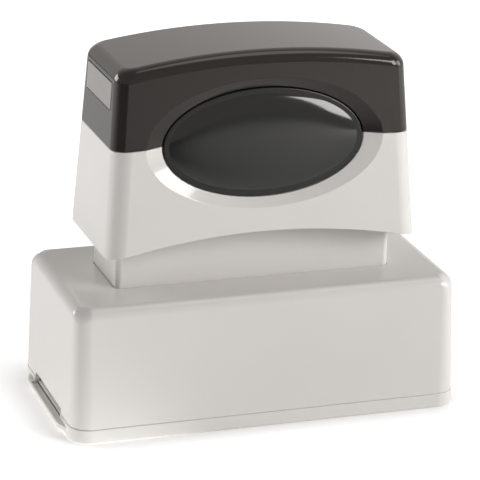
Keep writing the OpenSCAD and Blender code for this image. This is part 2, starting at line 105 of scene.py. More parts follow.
class Body(Enum):
    """Rigid bodies of the frame that pieces ride on."""

    BASE = "base"
    PLUNGER = "plunger"
    HANDLE = "handle"
    COVER = "cover"


class Cut(Enum):
    """Ways to combine a piece with a tool shape."""

    AWAY = "DIFFERENCE"
    JOIN = "UNION"


class Sum(Enum):
    """Ways to work out a value from two others."""

    PLUS = "ADD"
    TIMES = "MULTIPLY"
    LARGER = "MAXIMUM"


class Ease(Enum):
    """Ways to run from one value to another."""

    STRAIGHT = "LINEAR"
    SOFT = "SMOOTHSTEP"


def box_mm(node: str) -> tuple[Vector, Vector]:
    """Gives a frame node's lowest and highest corners.

    Args:
        node: Name of the node.

    Returns:
        Two corners, in millimetres.
    """
    low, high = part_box(node)
    return low / MM, high / MM


def bearing(azimuth: float, elevation: float) -> Vector:
    """Gives the direction from the object to a place around it.

    Args:
        azimuth: Angle around the object, in degrees: 0 is the front, 90 the right.
        elevation: Angle above the horizon, in degrees.

    Returns:
        A unit vector.
    """
    around = math.radians(azimuth)
    up = math.radians(elevation)
    return Vector((math.sin(around) * math.cos(up), -math.cos(around) * math.cos(up), math.sin(up)))


def roll_turns(draft: float, steps: int) -> list[float]:
    """Gives the angles at which a drafted wall rolls over into a flat top.

    Args:
        draft: Draft of the wall, in degrees.
        steps: Steps of the roll.

    Returns:
        The angles, in radians, from the wall's to a quarter turn.
    """
    start = math.radians(draft)
    return [start + (math.pi / 2 - start) * step / steps for step in range(steps + 1)]


# Plans and meshes


@dataclass(frozen=True)
class Plan:
    """A rounded rectangle seen from above, centred on the axis.

    Attributes:
        half_x: Half length.
        half_y: Half depth.
        radius: Corner radius.
    """

    half_x: float
    half_y: float
    radius: float

    @property
    def core(self) -> Span:
        """Half sizes of the rectangle through the corner centres."""
        return self.half_x - self.radius, self.half_y - self.radius

    def inset(self, by: float) -> "Plan":
        """Gives the plan drawn in by the same distance all round."""
        return Plan(self.half_x - by, self.half_y - by, self.radius - by)

    def grown(self, by: float, radius: float) -> "Plan":
        """Gives the plan grown, or with a negative distance drawn in, with a corner radius of its own."""
        return Plan(self.half_x + by, self.half_y + by, radius)

    def face(self, mesh: BMesh, z: float, segments: int = CORNER_STEPS) -> BMFace:
        """Draws the plan as one flat face.

        Args:
            mesh: Empty mesh that gets the face.
            z: Height of the face.
            segments: Segments of each corner.

        Returns:
            The face, looking up.
        """
        corners = bmesh.ops.create_grid(mesh, x_segments=1, y_segments=1, size=1.0)["verts"]
        bmesh.ops.scale(mesh, vec=(self.half_x, self.half_y, 1.0), verts=corners)
        bmesh.ops.translate(mesh, vec=(0.0, 0.0, z), verts=corners)
        bmesh.ops.bevel(
            mesh, geom=corners, offset=self.radius, offset_type="OFFSET", segments=segments,
            profile=0.5, affect="VERTICES", material=-1,
        )
        return next(iter(mesh.faces))

    def outline(self, mesh: BMesh, z: float, segments: int) -> None:
        """Draws the plan in an empty mesh as edges alone."""
        face = self.face(mesh, z, segments)
        bmesh.ops.delete(mesh, geom=[face], context="FACES_ONLY")

    def centre(self, point: Vector) -> Vector:
        """Gives the place of the core next to a point of the outline, at height zero."""
        core_x, core_y = self.core
        return Vector((max(-core_x, min(core_x, point.x)), max(-core_y, min(core_y, point.y)), 0.0))

    def outward(self, point: Vector) -> Vector:
        """Gives the level direction in which the outline faces at one of its points."""
        return (Vector((point.x, point.y, 0.0)) - self.centre(point)).normalized()

    def refit(self, point: Vector, other: "Plan") -> Vector:
        """Carries a point of this plan's outline over to another plan.

        Args:
            point: A point of the outline.
            other: The plan to fit.

        Returns:
            The like point of the other outline, at height zero.
        """
        core_x, core_y = self.core
        other_x, other_y = other.core
        centre = self.centre(point)
        moved = Vector((centre.x * other_x / core_x, centre.y * other_y / core_y, 0.0))
        return moved + self.outward(point) * other.radius


# Outline of the neck, which the base's slot and the handle's socket fit
NECK = Plan(32.0, 9.6, 1.5)


def rise(mesh: BMesh, face: BMFace, inset: float, height: float) -> None:
    """Lifts a face and draws its outline in, which leaves a sloped wall behind it.

    Args:
        mesh: Mesh of the face.
        face: Face to lift, which stays the top one.
        inset: Distance that the outline is drawn in.
        height: Distance along the face's normal.
    """
    bmesh.ops.inset_individual(
        mesh, faces=[face], thickness=inset, depth=height, use_even_offset=True, use_relative_offset=False
    )


def lift(mesh: BMesh, face: BMFace, height: float) -> None:
    """Extrudes a single face straight up.

    Args:
        mesh: Mesh of the face.
        face: Face to extrude, which stays as the underside.
        height: Distance along Z.
    """
    made = bmesh.ops.extrude_face_region(mesh, geom=[face])["geom"]
    verts = [item for item in made if isinstance(item, BMVert)]
    bmesh.ops.translate(mesh, vec=(0.0, 0.0, height), verts=verts)
    put_in_order(mesh)


def close(mesh: BMesh) -> None:
    """Caps the open rims of a mesh and turns its faces outwards.

    Args:
        mesh: Mesh to close.
    """
    rim = [edge for edge in mesh.edges if edge.is_boundary]
    if rim:
        bmesh.ops.holes_fill(mesh, edges=rim, sides=0)
    bmesh.ops.recalc_face_normals(mesh, faces=mesh.faces[:])


def put_in_order(mesh: BMesh) -> None:
    """Sorts edges and faces from left to right, since extrusions and spins make them in any order.

    Args:
        mesh: Mesh to sort.
    """
    mesh.verts.index_update()

    def place(item: BMEdge | BMFace) -> tuple[float | int, ...]:
        """Gives the middle of an item and then its vertices, which tell apart items with one middle.

        Args:
            item: An edge or a face.

        Returns:
            The values to sort by.
        """
        middle = sum((vert.co for vert in item.verts), Vector()) / len(item.verts)
        return *(round(number, PLACE_DIGITS) for number in middle), *sorted(vert.index for vert in item.verts)

    for items in (mesh.edges, mesh.faces):
        rank = {item: number for number, item in enumerate(sorted(items, key=place))}
        items.sort(key=rank.get)


def stack_rings(mesh: BMesh, levels: Sequence[Placing]) -> list[list[BMVert]]:
    """Extrudes an outline into a wall of rings, each with a shape of its own.

    Args:
        mesh: Mesh that holds the outline alone, as edges.
        levels: For the outline and each ring after it, where a point of the outline goes.

    Returns:
        The vertices of each ring.
    """
    rings = [mesh.verts[:]]
    edges = mesh.edges[:]
    for _ in levels[1:]:
        made = bmesh.ops.extrude_edge_only(mesh, edges=edges)["geom"]
        rings.append([item for item in made if isinstance(item, BMVert)])
        ring = set(rings[-1])
        edges = [item for item in made if isinstance(item, BMEdge) and ring.issuperset(item.verts)]
    for ring, level in zip(rings, levels):
        for vert in ring:
            vert.co = level(vert.co.copy())
    put_in_order(mesh)
    return rings


def prism(plan: Plan, low: float, high: float, segments: int = CORNER_STEPS) -> BMesh:
    """Makes a straight block with rounded upright corners.

    Args:
        plan: Outline of the block.
        low: Height of its underside.
        high: Height of its top.
        segments: Segments of each corner.

    Returns:
        A closed mesh.
    """
    mesh = bmesh.new()
    lift(mesh, plan.face(mesh, low, segments), high - low)
    close(mesh)
    return mesh


def slab(low: Sequence[float], high: Sequence[float]) -> BMesh:
    """Makes a square-edged block between two corners.

    Args:
        low: Lowest corner.
        high: Highest corner.

    Returns:
        A closed mesh.
    """
    mesh = bmesh.new()
    size = Vector(high) - Vector(low)
    middle = (Vector(high) + Vector(low)) / 2
    bmesh.ops.create_cube(mesh, size=1.0, matrix=Matrix.Translation(middle) @ Matrix.Diagonal((*size, 1.0)))
    return mesh


def rods(place_x: float, radius: float, low: float, high: float, sides: int) -> list[BMesh]:
    """Makes two upright rods, one towards each end.

    Args:
        place_x: Distance of a rod's axis from the middle.
        radius: Radius of a rod.
        low: Height of its lower end.
        high: Height of its upper end.
        sides: Sides of a rod.

    Returns:
        Two closed meshes.
    """
    made = []
    for end in ENDS:
        mesh = bmesh.new()
        place = Matrix.Translation((end * place_x, 0.0, (low + high) / 2))
        bmesh.ops.create_cone(
            mesh, cap_ends=True, segments=sides, radius1=radius, radius2=radius, depth=high - low,
            matrix=place,
        )
        made.append(mesh)
    return made


def oval(rings: Sequence[tuple[float, float, float]], place: Matrix) -> BMesh:
    """Makes a closed oval body from rings of rising height.

    Args:
        rings: Half length, half height and level of each ring.
        place: Where the body goes.

    Returns:
        A closed mesh.
    """
    mesh = bmesh.new()
    loops = []
    for half_x, half_y, level in rings:
        made = bmesh.ops.create_circle(mesh, cap_ends=False, radius=1.0, segments=OVAL_STEPS)["verts"]
        bmesh.ops.scale(mesh, vec=(half_x, half_y, 1.0), verts=made)
        bmesh.ops.translate(mesh, vec=(0.0, 0.0, level), verts=made)
        loops.append(list(dict.fromkeys(edge for vert in made for edge in vert.link_edges)))
    for lower, upper in zip(loops, loops[1:]):
        bmesh.ops.bridge_loops(mesh, edges=[*lower, *upper])
    close(mesh)
    bmesh.ops.transform(mesh, matrix=place, verts=mesh.verts[:])
    return mesh


def as_object(mesh: BMesh, name: str) -> Piece:
    """Turns a mesh under construction into an object of the scene.

    Args:
        mesh: Mesh, used up by the work.
        name: Name of the object.

    Returns:
        The object.
    """
    data = bpy.data.meshes.new(name)
    mesh.to_mesh(data)
    mesh.free()
    made = bpy.data.objects.new(name, data)
    bpy.context.scene.collection.objects.link(made)
    return made


def settle(piece: Piece) -> None:
    """Applies a piece's modifiers to its mesh.

    Args:
        piece: Piece to work on.
    """
    bpy.context.view_layer.update()
    shown = piece.evaluated_get(bpy.context.evaluated_depsgraph_get())
    plain = bpy.data.meshes.new_from_object(shown)
    old = piece.data
    piece.modifiers.clear()
    piece.data = plain
    bpy.data.meshes.remove(old)
    plain.name = piece.name


def carve(piece: Piece, how: Cut, tools: Iterable[BMesh]) -> None:
    """Cuts tool shapes out of a piece, or joins them to it.

    Args:
        piece: Piece to work on.
        how: Whether the tools are cut away or joined.
        tools: Closed meshes, used up by the work.
    """
    for number, tool in enumerate(tools):
        cutter = as_object(tool, f"tool_{number}")
        work = piece.modifiers.new("carve", "BOOLEAN")
        work.operation = how.value
        work.solver = "MANIFOLD"
        work.object = cutter
        settle(piece)
        bpy.data.objects.remove(cutter)
        if not piece.data.polygons:
            raise RuntimeError(f"{piece.name}: nothing is left after cut {number}")


def clean(piece: Piece) -> None:
    """Welds a carved mesh and joins the faces that lie in one plane.

    Args:
        piece: Piece to work on.
    """
    mesh = bmesh.new()
    mesh.from_mesh(piece.data)
    bmesh.ops.remove_doubles(mesh, verts=mesh.verts[:], dist=WELD)
    bmesh.ops.dissolve_limit(
        mesh, angle_limit=FLAT_ANGLE, use_dissolve_boundaries=False, verts=mesh.verts[:], edges=mesh.edges[:]
    )
    bmesh.ops.recalc_face_normals(mesh, faces=mesh.faces[:])
    mesh.to_mesh(piece.data)
    mesh.free()


def round_edges(piece: Piece, width: float, segments: int) -> None:
    """Rounds a piece's sharp edges.

    Args:
        piece: Piece to work on.
        width: Width of the rounding.
        segments: Segments of the rounding.
    """
    edge = piece.modifiers.new("edge", "BEVEL")
    edge.width = width
    edge.segments = segments
    edge.profile = 0.5
    edge.affect = "EDGES"
    edge.limit_method = "ANGLE"
    edge.angle_limit = SOFTENED_ANGLE
    edge.miter_outer = "MITER_ARC"
    edge.use_clamp_overlap = False
    settle(piece)


def smooth(piece: Piece) -> None:
    """Shades a piece smooth, with flat faces that stay flat.

    Args:
        piece: Piece to work on.
    """
    piece.data.shade_smooth()
    piece.data.set_sharp_from_angle(angle=SHARP_ANGLE)
    flat = piece.modifiers.new("flat", "WEIGHTED_NORMAL")
    flat.mode = "FACE_AREA"
    flat.weight = FLAT_WEIGHT
    flat.keep_sharp = True
    settle(piece)


def finish_mesh(piece: Piece, width: float = 0.0, segments: int = EDGE_STEPS) -> None:
    """Rounds a piece's sharp edges, shades it smooth and brings it from millimetres to the frame's metres.

    Args:
        piece: Piece to finish.
        width: Width of the rounding, or zero for none.
        segments: Segments of the rounding.
    """
    if width > 0:
        round_edges(piece, width, segments)
    smooth(piece)
    piece.data.transform(Matrix.Scale(MM, 4))
    piece.data.update()


# Finishes


class Graph:
    """A node tree with short calls for adding and linking nodes."""

    def __init__(self, tree: bpy.types.NodeTree) -> None:
        """Keeps the tree that nodes are added to."""
        self.tree = tree

    @classmethod
    def of(cls, owner: bpy.types.Material | bpy.types.World) -> "Graph":
        """Empties the node tree of a material or a world.

        Args:
            owner: The material or the world.

        Returns:
            The empty tree.
        """
        owner.use_nodes = True
        owner.node_tree.nodes.clear()
        return cls(owner.node_tree)

    def add(self, kind: str, **settings: object) -> bpy.types.Node:
        """Adds a node.

        Args:
            kind: Type of the node.
            settings: Properties of the node, by name.

        Returns:
            The node.
        """
        node = self.tree.nodes.new(kind)
        for name, value in settings.items():
            setattr(node, name, value)
        return node

    def link(self, source: Socket, target: Socket) -> None:
        """Joins two sockets."""
        self.tree.links.new(source, target)

    def noise(self, vector: Socket, scale: float, detail: float) -> Socket:
        """Adds a noise texture.

        Args:
            vector: Coordinates that it reads.
            scale: Cells to the metre.
            detail: Octaves.

        Returns:
            The noise's value.
        """
        node = self.add("ShaderNodeTexNoise")
        node.inputs["Scale"].default_value = scale
        node.inputs["Detail"].default_value = detail
        self.link(vector, node.inputs["Vector"])
        return node.outputs["Fac"]

    def ramp(self, value: Socket, source: Span, target: Span, ease: Ease = Ease.STRAIGHT) -> Socket:
        """Maps a value from one range to another.

        Args:
            value: Value to map.
            source: Range that it comes from.
            target: Range that it goes to.
            ease: How it runs between them.

        Returns:
            The mapped value.
        """
        node = self.add("ShaderNodeMapRange", clamp=True, interpolation_type=ease.value)
        names = ("From Min", "From Max", "To Min", "To Max")
        for name, number in zip(names, (*source, *target)):
            node.inputs[name].default_value = number
        self.link(value, node.inputs["Value"])
        return node.outputs["Result"]

    def reckon(self, how: Sum, first: Socket, second: Socket) -> Socket:
        """Works out a value from two others.

        Args:
            how: What is done with them.
            first: One value.
            second: The other value.

        Returns:
            The result.
        """
        node = self.add("ShaderNodeMath", operation=how.value)
        self.link(first, node.inputs[0])
        self.link(second, node.inputs[1])
        return node.outputs[0]

    def blend(self, share: Socket, first: Socket | float, second: Socket | float) -> Socket:
        """Mixes two values.

        Args:
            share: Share of the second value.
            first: One value, or a number.
            second: The other value, or a number.

        Returns:
            The mix.
        """
        node = self.add("ShaderNodeMix", data_type="FLOAT")
        self.link(share, node.inputs[0])
        for socket, value in ((node.inputs[2], first), (node.inputs[3], second)):
            if isinstance(value, float):
                socket.default_value = value
            else:
                self.link(value, socket)
        return node.outputs[0]

    def tint(self, share: Socket, first: Colour, second: Colour) -> Socket:
        """Mixes two colours.

        Args:
            share: Share of the second colour.
            first: One colour.
            second: The other colour.

        Returns:
            The mix.
        """
        node = self.add("ShaderNodeMix", data_type="RGBA")
        self.link(share, node.inputs[0])
        node.inputs[6].default_value = (*first, 1.0)
        node.inputs[7].default_value = (*second, 1.0)
        return node.outputs[2]

    def lobe(self, direction: Socket, centre: Span, span: Span, reach: Span) -> Socket:
        """Adds a value that changes softly towards one direction.

        Args:
            direction: Unit direction that is looked up.
            centre: The lobe's direction: around the object and up, in degrees.
            span: Value away from the lobe and at its centre.
            reach: Cosines of the lobe's rim and core.

        Returns:
            The value.
        """
        towards = self.add("ShaderNodeVectorMath", operation="DOT_PRODUCT")
        self.link(direction, towards.inputs[0])
        towards.inputs[1].default_value = bearing(*centre)
        return self.ramp(towards.outputs["Value"], reach, span, Ease.SOFT)


class MouldedSurface:
    """Shader node group of a moulded surface: fine spark-eroded grain, slow waviness and handling haze.

    Each pattern has its cells to the metre and its octaves.
    """

    NAME = "moulded_surface"
    GRAIN = (5200.0, 2.0)
    WAVE = (55.0, 1.0)
    HAZE = (28.0, 4.0)
    MIDDLE = (0.3, 0.7)
    PLAIN_GRAIN = 0.5

    @classmethod
    def group(cls) -> bpy.types.NodeTree:
        """Builds the group once.

        Returns:
            The group, with outputs Height, Haze and Shade.
        """
        found = bpy.data.node_groups.get(cls.NAME)
        if found:
            return found
        tree = bpy.data.node_groups.new(cls.NAME, "ShaderNodeTree")
        tree.interface.new_socket("Vector", in_out="INPUT", socket_type="NodeSocketVector")
        grain_in = tree.interface.new_socket("Grain", in_out="INPUT", socket_type="NodeSocketFloat")
        grain_in.default_value = cls.PLAIN_GRAIN
        for name in ("Height", "Haze", "Shade"):
            tree.interface.new_socket(name, in_out="OUTPUT", socket_type="NodeSocketFloat")
        graph = Graph(tree)
        entry = graph.add("NodeGroupInput").outputs
        leave = graph.add("NodeGroupOutput").inputs
        grain, wave, haze = (graph.noise(entry["Vector"], *kind) for kind in (cls.GRAIN, cls.WAVE, cls.HAZE))
        graph.link(graph.blend(entry["Grain"], wave, grain), leave["Height"])
        graph.link(graph.ramp(haze, cls.MIDDLE, FULL), leave["Haze"])
        graph.link(graph.ramp(wave, cls.MIDDLE, FULL), leave["Shade"])
        return tree


@dataclass(frozen=True)
class Finish:
    """One finish of the object.

    Attributes:
        slot: Material slot of the record.
        tone: Colour of the plain surface, linear.
        shade: Colour in its duller patches, linear.
        rough: Roughness where it is polished.
        dull: Roughness where it is handled.
        grain: Share of fine grain in the relief, from 0 to 1.
        relief: Depth of the relief in metres.
        coat: Weight of a clear polished layer.
        metal: Metallic share.
        ior: Refractive index.
        gloss_tint: Colour of the reflections.
    """

    slot: str
    tone: Colour
    shade: Colour
    rough: float
    dull: float
    grain: float = MouldedSurface.PLAIN_GRAIN
    relief: float = 0.000002
    coat: float = 0.0
    metal: float = 0.0
    ior: float = 1.5
    gloss_tint: Colour = (1.0, 0.985, 0.97)

    def material(self) -> bpy.types.Material:
        """Builds the finish's material once.

        Returns:
            The material.
        """
        name = f"finish_{self.slot}"
        found = bpy.data.materials.get(name)
        if found:
            return found
        made = bpy.data.materials.new(name)
        graph = Graph.of(made)
        where = graph.add("ShaderNodeTexCoord")
        surface = graph.add("ShaderNodeGroup", node_tree=MouldedSurface.group())
        surface.inputs["Grain"].default_value = self.grain
        graph.link(where.outputs["Object"], surface.inputs["Vector"])
        shader = graph.add("ShaderNodeBsdfPrincipled")
        shader.inputs["Metallic"].default_value = self.metal
        shader.inputs["IOR"].default_value = self.ior
        shader.inputs["Specular Tint"].default_value = (*self.gloss_tint, 1.0)
        shader.inputs["Coat Weight"].default_value = self.coat
        shader.inputs["Coat Roughness"].default_value = self.rough
        graph.link(graph.tint(surface.outputs["Shade"], self.tone, self.shade), shader.inputs["Base Color"])
        rough = graph.ramp(surface.outputs["Haze"], FULL, (self.rough, self.dull))
        graph.link(rough, shader.inputs["Roughness"])
        bump = graph.add("ShaderNodeBump")
        bump.inputs["Distance"].default_value = self.relief
        graph.link(surface.outputs["Height"], bump.inputs["Height"])
        graph.link(bump.outputs["Normal"], shader.inputs["Normal"])
        out = graph.add("ShaderNodeOutputMaterial")
        graph.link(shader.outputs["BSDF"], out.inputs["Surface"])
        return made


WHITE_PLASTIC = Finish(
    slot="white_plastic", tone=(0.745, 0.718, 0.69), shade=(0.73, 0.703, 0.675), rough=0.1, dull=0.14
)
COVER_PLASTIC = Finish(
    slot="cover_plastic", tone=(0.75, 0.723, 0.695), shade=(0.735, 0.708, 0.68), rough=0.11, dull=0.15
)
INNER_PLASTIC = Finish(
    slot="inner_plastic", tone=(0.5, 0.5, 0.49), shade=(0.47, 0.47, 0.465), rough=0.42, dull=0.55,
    relief=0.00001,
)
SMOKE_PLASTIC = Finish(
    slot="smoke_plastic", tone=(0.0145, 0.0125, 0.0118), shade=(0.017, 0.015, 0.014), rough=0.08, dull=0.12,
    gloss_tint=(1.0, 0.93, 0.875),
)
BADGE_BLACK = Finish(
    slot="badge_black", tone=(0.006, 0.006, 0.006), shade=(0.008, 0.008, 0.008), rough=0.22, dull=0.3
)
BADGE_GLOSS = Finish(
    slot="badge_gloss", tone=(0.008, 0.0078, 0.0076), shade=(0.0095, 0.0092, 0.009), rough=0.1, dull=0.13,
    coat=0.3,
)
INDEX_PLASTIC = Finish(
    slot="index_plastic", tone=(0.305, 0.293, 0.274), shade=(0.29, 0.278, 0.26), rough=0.36, dull=0.46
)
INK_FELT = Finish(
    slot="ink_felt", tone=(0.012, 0.014, 0.05), shade=(0.02, 0.023, 0.075), rough=0.8, dull=0.95,
    grain=0.9, relief=0.0002,
)
DIE_FOAM = Finish(
    slot="die_foam", tone=(0.045, 0.05, 0.11), shade=(0.06, 0.065, 0.13), rough=0.6, dull=0.75,
    grain=0.8, relief=0.00006,
)
SPRING_STEEL = Finish(
    slot="spring_steel", tone=(0.62, 0.61, 0.59), shade=(0.55, 0.54, 0.53), rough=0.22, dull=0.34, metal=1.0
)


def dress(piece: Piece, finish: Finish, body: Body, node: str) -> Piece:
    """Gives a finished piece its material, body and place in the frame.

    Args:
        piece: Piece, in metres.
        finish: Finish that it gets.
        body: Body that it rides on.
        node: Frame node that it stands for.

    Returns:
        The piece.
    """
    piece.data.materials.clear()
    piece.data.materials.append(finish.material())
    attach(piece, body.value)
    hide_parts(node)
    LOG.info("%s: %d faces on %s", piece.name, len(piece.data.polygons), body.value)
    return piece


def dress_node(frame: dict, node: str, finish: Finish) -> None:
    """Gives a frame node that stays in view its finish.

    Args:
        frame: The loaded frame.
        node: Name of the node.
        finish: Finish that it gets.
    """
    shown = frame["nodes"][node]
    shown.data.materials.clear()
    shown.data.materials.append(finish.material())
    LOG.info("%s: frame node, %s", node, finish.slot)


# Base


@dataclass
class BaseShell:
    """The white moulded box, open below, with the neck's slot in its top.

    Attributes:
        draft: Draft of the walls, in degrees.
        corner_r: Radius of the upright corners at the top.
        brow_r: Rounding of the top's outer edge.
        corner_brow_r: The same at the middle of a corner.
        wall: Wall thickness.
        seam: Gap between the cover's rim and the wall above it.
        lip_inset: How far the lip that stands in the cover is set in from the wall.
        slot_gap: Gap around the neck.
        slot_r: Corner radius of the slot.
        scoop_half: Half width of the nail scoop over the pull tab.
        scoop_height: Height of the nail scoop over its ledge.
        scoop_reach: Depth of the nail scoop at its ledge.
        ledge: Height of the scoop's ledge.
        skirt_low: Height of the underside of the skirt below the ledge.
        skirt_inset: How far the skirt stands back from the wall.
        skirt_short: How far the skirt ends before the wall's inner face.
        skirt_narrow: How much the skirt stays inside the scoop at each side.
        edge: Rounding of the other edges.
        brow_steps: Steps of the top's rounding.
    """

    draft: float = 2.0
    corner_r: float = 3.8
    brow_r: float = 2.6
    corner_brow_r: float = 3.5
    wall: float = 2.2
    seam: float = 0.1
    lip_inset: float = 1.4
    slot_gap: float = 0.12
    slot_r: float = 1.6
    scoop_half: float = 11.4
    scoop_height: float = 2.2
    scoop_reach: float = 1.95
    ledge: float = 2.3
    skirt_low: float = 1.7
    skirt_inset: float = 0.65
    skirt_short: float = 0.1
    skirt_narrow: float = 0.2
    edge: float = 0.18
    brow_steps: int = 14
    low: Vector = field(init=False)
    high: Vector = field(init=False)
    slope: float = field(init=False)
    shoulder: float = field(init=False)

    def __post_init__(self) -> None:
        """Takes the heights from the frame."""
        self.low, self.high = box_mm("base_housing")
        self.slope = math.tan(math.radians(self.draft))
        self.shoulder = box_mm("dust_cover")[1].z + self.seam

    def plan(self, z: float) -> Plan:
        """Gives the outer outline at a height.

        Args:
            z: Height.

        Returns:
            The outline.
        """
        grow = self.slope * (self.shoulder - z)
        corner = self.corner_r + self.slope * (self.high.z - z)
        return Plan(self.high.x + grow, self.high.y + grow, corner)

    def drafted(self, low: float, high: float, inset: float) -> BMesh:
        """Makes a drafted block with a sharp top, set in from the outer walls.

        Args:
            low: Height of its underside.
            high: Height of its top.
            inset: Distance from the outer walls.

        Returns:
            A closed mesh.
        """
        mesh = bmesh.new()
        face = self.plan(low).inset(inset).face(mesh, low)
        rise(mesh, face, self.slope * (high - low), high - low)
        close(mesh)
        return mesh

    def outside(self) -> BMesh:
        """Makes the outer form: a drafted wall that rolls over into the top.

        Returns:
            A closed mesh.
        """
        mesh = bmesh.new()
        lowest = self.plan(self.shoulder)
        lowest.outline(mesh, self.shoulder, self.brow_steps)
        rolls = [self.brow_level(lowest, turn) for turn in roll_turns(self.draft, self.brow_steps)]
        stack_rings(mesh, [Vector.copy, *rolls])
        close(mesh)
        return mesh

    def brow_level(self, lowest: Plan, turn: float) -> Placing:
        """Gives a ring of the rolled edge between wall and top.

        Args:
            lowest: The wall's lowest outline.
            turn: Angle of the roll, from nearly upright wall to flat top.

        Returns:
            Where a point of the lowest outline goes.
        """
        start = math.radians(self.draft)

        def place(point: Vector) -> Vector:
            """Gives the point of the ring over a point of the lowest outline.

            Args:
                point: A point of the lowest outline.

            Returns:
                The point of the ring.
            """
            outward = lowest.outward(point)
            at_corner = 4 * (outward.x * outward.y) ** 2
            roll = self.brow_r + (self.corner_brow_r - self.brow_r) * at_corner
            wall = self.plan(self.high.z - roll * (1 - math.sin(start)))
            placed = lowest.refit(point, wall) - outward * roll * (math.cos(start) - math.cos(turn))
            placed.z = self.high.z - roll * (1 - math.sin(turn))
            return placed

        return place

    def scoop(self) -> BMesh:
        """Makes the tool for the nail scoop over the cover's pull tab.

        Returns:
            A closed mesh.
        """
        top = self.ledge + self.scoop_height
        wall_x = -self.plan(top).half_x
        inner_x = -self.plan(self.shoulder).half_x + self.scoop_reach
        mesh = slab((wall_x - 2 * PAST, -self.scoop_half, self.ledge), (inner_x, self.scoop_half, top))
        for vert in mesh.verts:
            if vert.co.x > wall_x and vert.co.z > self.ledge + WELD:
                vert.co.x = wall_x
        return mesh

    def skirt(self) -> BMesh:
        """Makes the block behind the pull tab that carries the scoop's ledge.

        Returns:
            A closed mesh.
        """
        wall_x = -self.plan(self.shoulder).half_x
        half = self.scoop_half - self.skirt_narrow
        lowest = (wall_x + self.skirt_inset, -half, self.skirt_low)
        return slab(lowest, (wall_x + self.wall - self.skirt_short, half, self.shoulder + PAST / 2))

    def build(self) -> Piece:
        """Models and dresses the shell.

        Returns:
            The piece.
        """
        ceiling = self.high.z - self.wall
        slot = NECK.grown(self.slot_gap, self.slot_r)
        piece = as_object(self.outside(), "base_shell")
        lip = self.drafted(self.low.z, self.shoulder + PAST, self.lip_inset)
        carve(piece, Cut.JOIN, [lip, self.skirt()])
        carve(piece, Cut.AWAY, [
            self.drafted(self.low.z - PAST, ceiling, self.wall),
            prism(slot, ceiling - PAST, self.high.z + PAST, SMALL_CORNER_STEPS),
            self.scoop(),
        ])
        clean(piece)
        finish_mesh(piece, self.edge)
        return dress(piece, WHITE_PLASTIC, Body.BASE, "base_housing")


@dataclass
class ReturnSpring:
    """A coil of round wire between the bottom frame and the plunger's flange.

    Attributes:
        node: Frame node that it stands for.
        wire_d: Diameter of the wire.
        turns: Open turns, between a closed turn at each end.
        sides: Sides of the wire.
        steps: Steps to a turn.
    """

    node: str
    wire_d: float = 0.6
    turns: int = 6
    sides: int = 10
    steps: int = 28

    def build(self, frame: dict) -> Piece:
        """Models the coil.

        Args:
            frame: The loaded frame; not used.

        Returns:
            The piece.
        """
        low, high = box_mm(self.node)
        middle = (low + high) / 2
        coil_r = (high.x - low.x - self.wire_d) / 2
        mesh = bmesh.new()
        place = Matrix.Translation((middle.x + coil_r, middle.y, low.z + self.wire_d / 2))
        place = place @ Matrix.Rotation(math.pi / 2, 4, "X")
        wire_r = self.wire_d / 2
        bmesh.ops.create_circle(mesh, cap_ends=True, radius=wire_r, segments=self.sides, matrix=place)
        end = mesh.faces[:]
        inner = []
        climb = (high.z - low.z - self.wire_d) - 2 * self.wire_d
        for turns, height in ((1, self.wire_d), (self.turns, climb), (1, self.wire_d)):
            steps = turns * self.steps
            made = bmesh.ops.spin(
                mesh, geom=end, cent=(middle.x, middle.y, 0.0), axis=(0.0, 0.0, 1.0),
                dvec=(0.0, 0.0, height / steps), angle=math.tau * turns, steps=steps,
                use_merge=False, use_duplicate=False,
            )["geom_last"]
            end = [item for item in made if isinstance(item, BMFace)]
            inner += end
        bmesh.ops.delete(mesh, geom=inner[:-1], context="FACES_ONLY")
        put_in_order(mesh)
        bmesh.ops.recalc_face_normals(mesh, faces=mesh.faces[:])
        piece = as_object(mesh, f"{self.node}_coil")
        finish_mesh(piece)
        dress(piece, SPRING_STEEL, Body.BASE, self.node)
        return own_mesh(piece)


# Dust cover


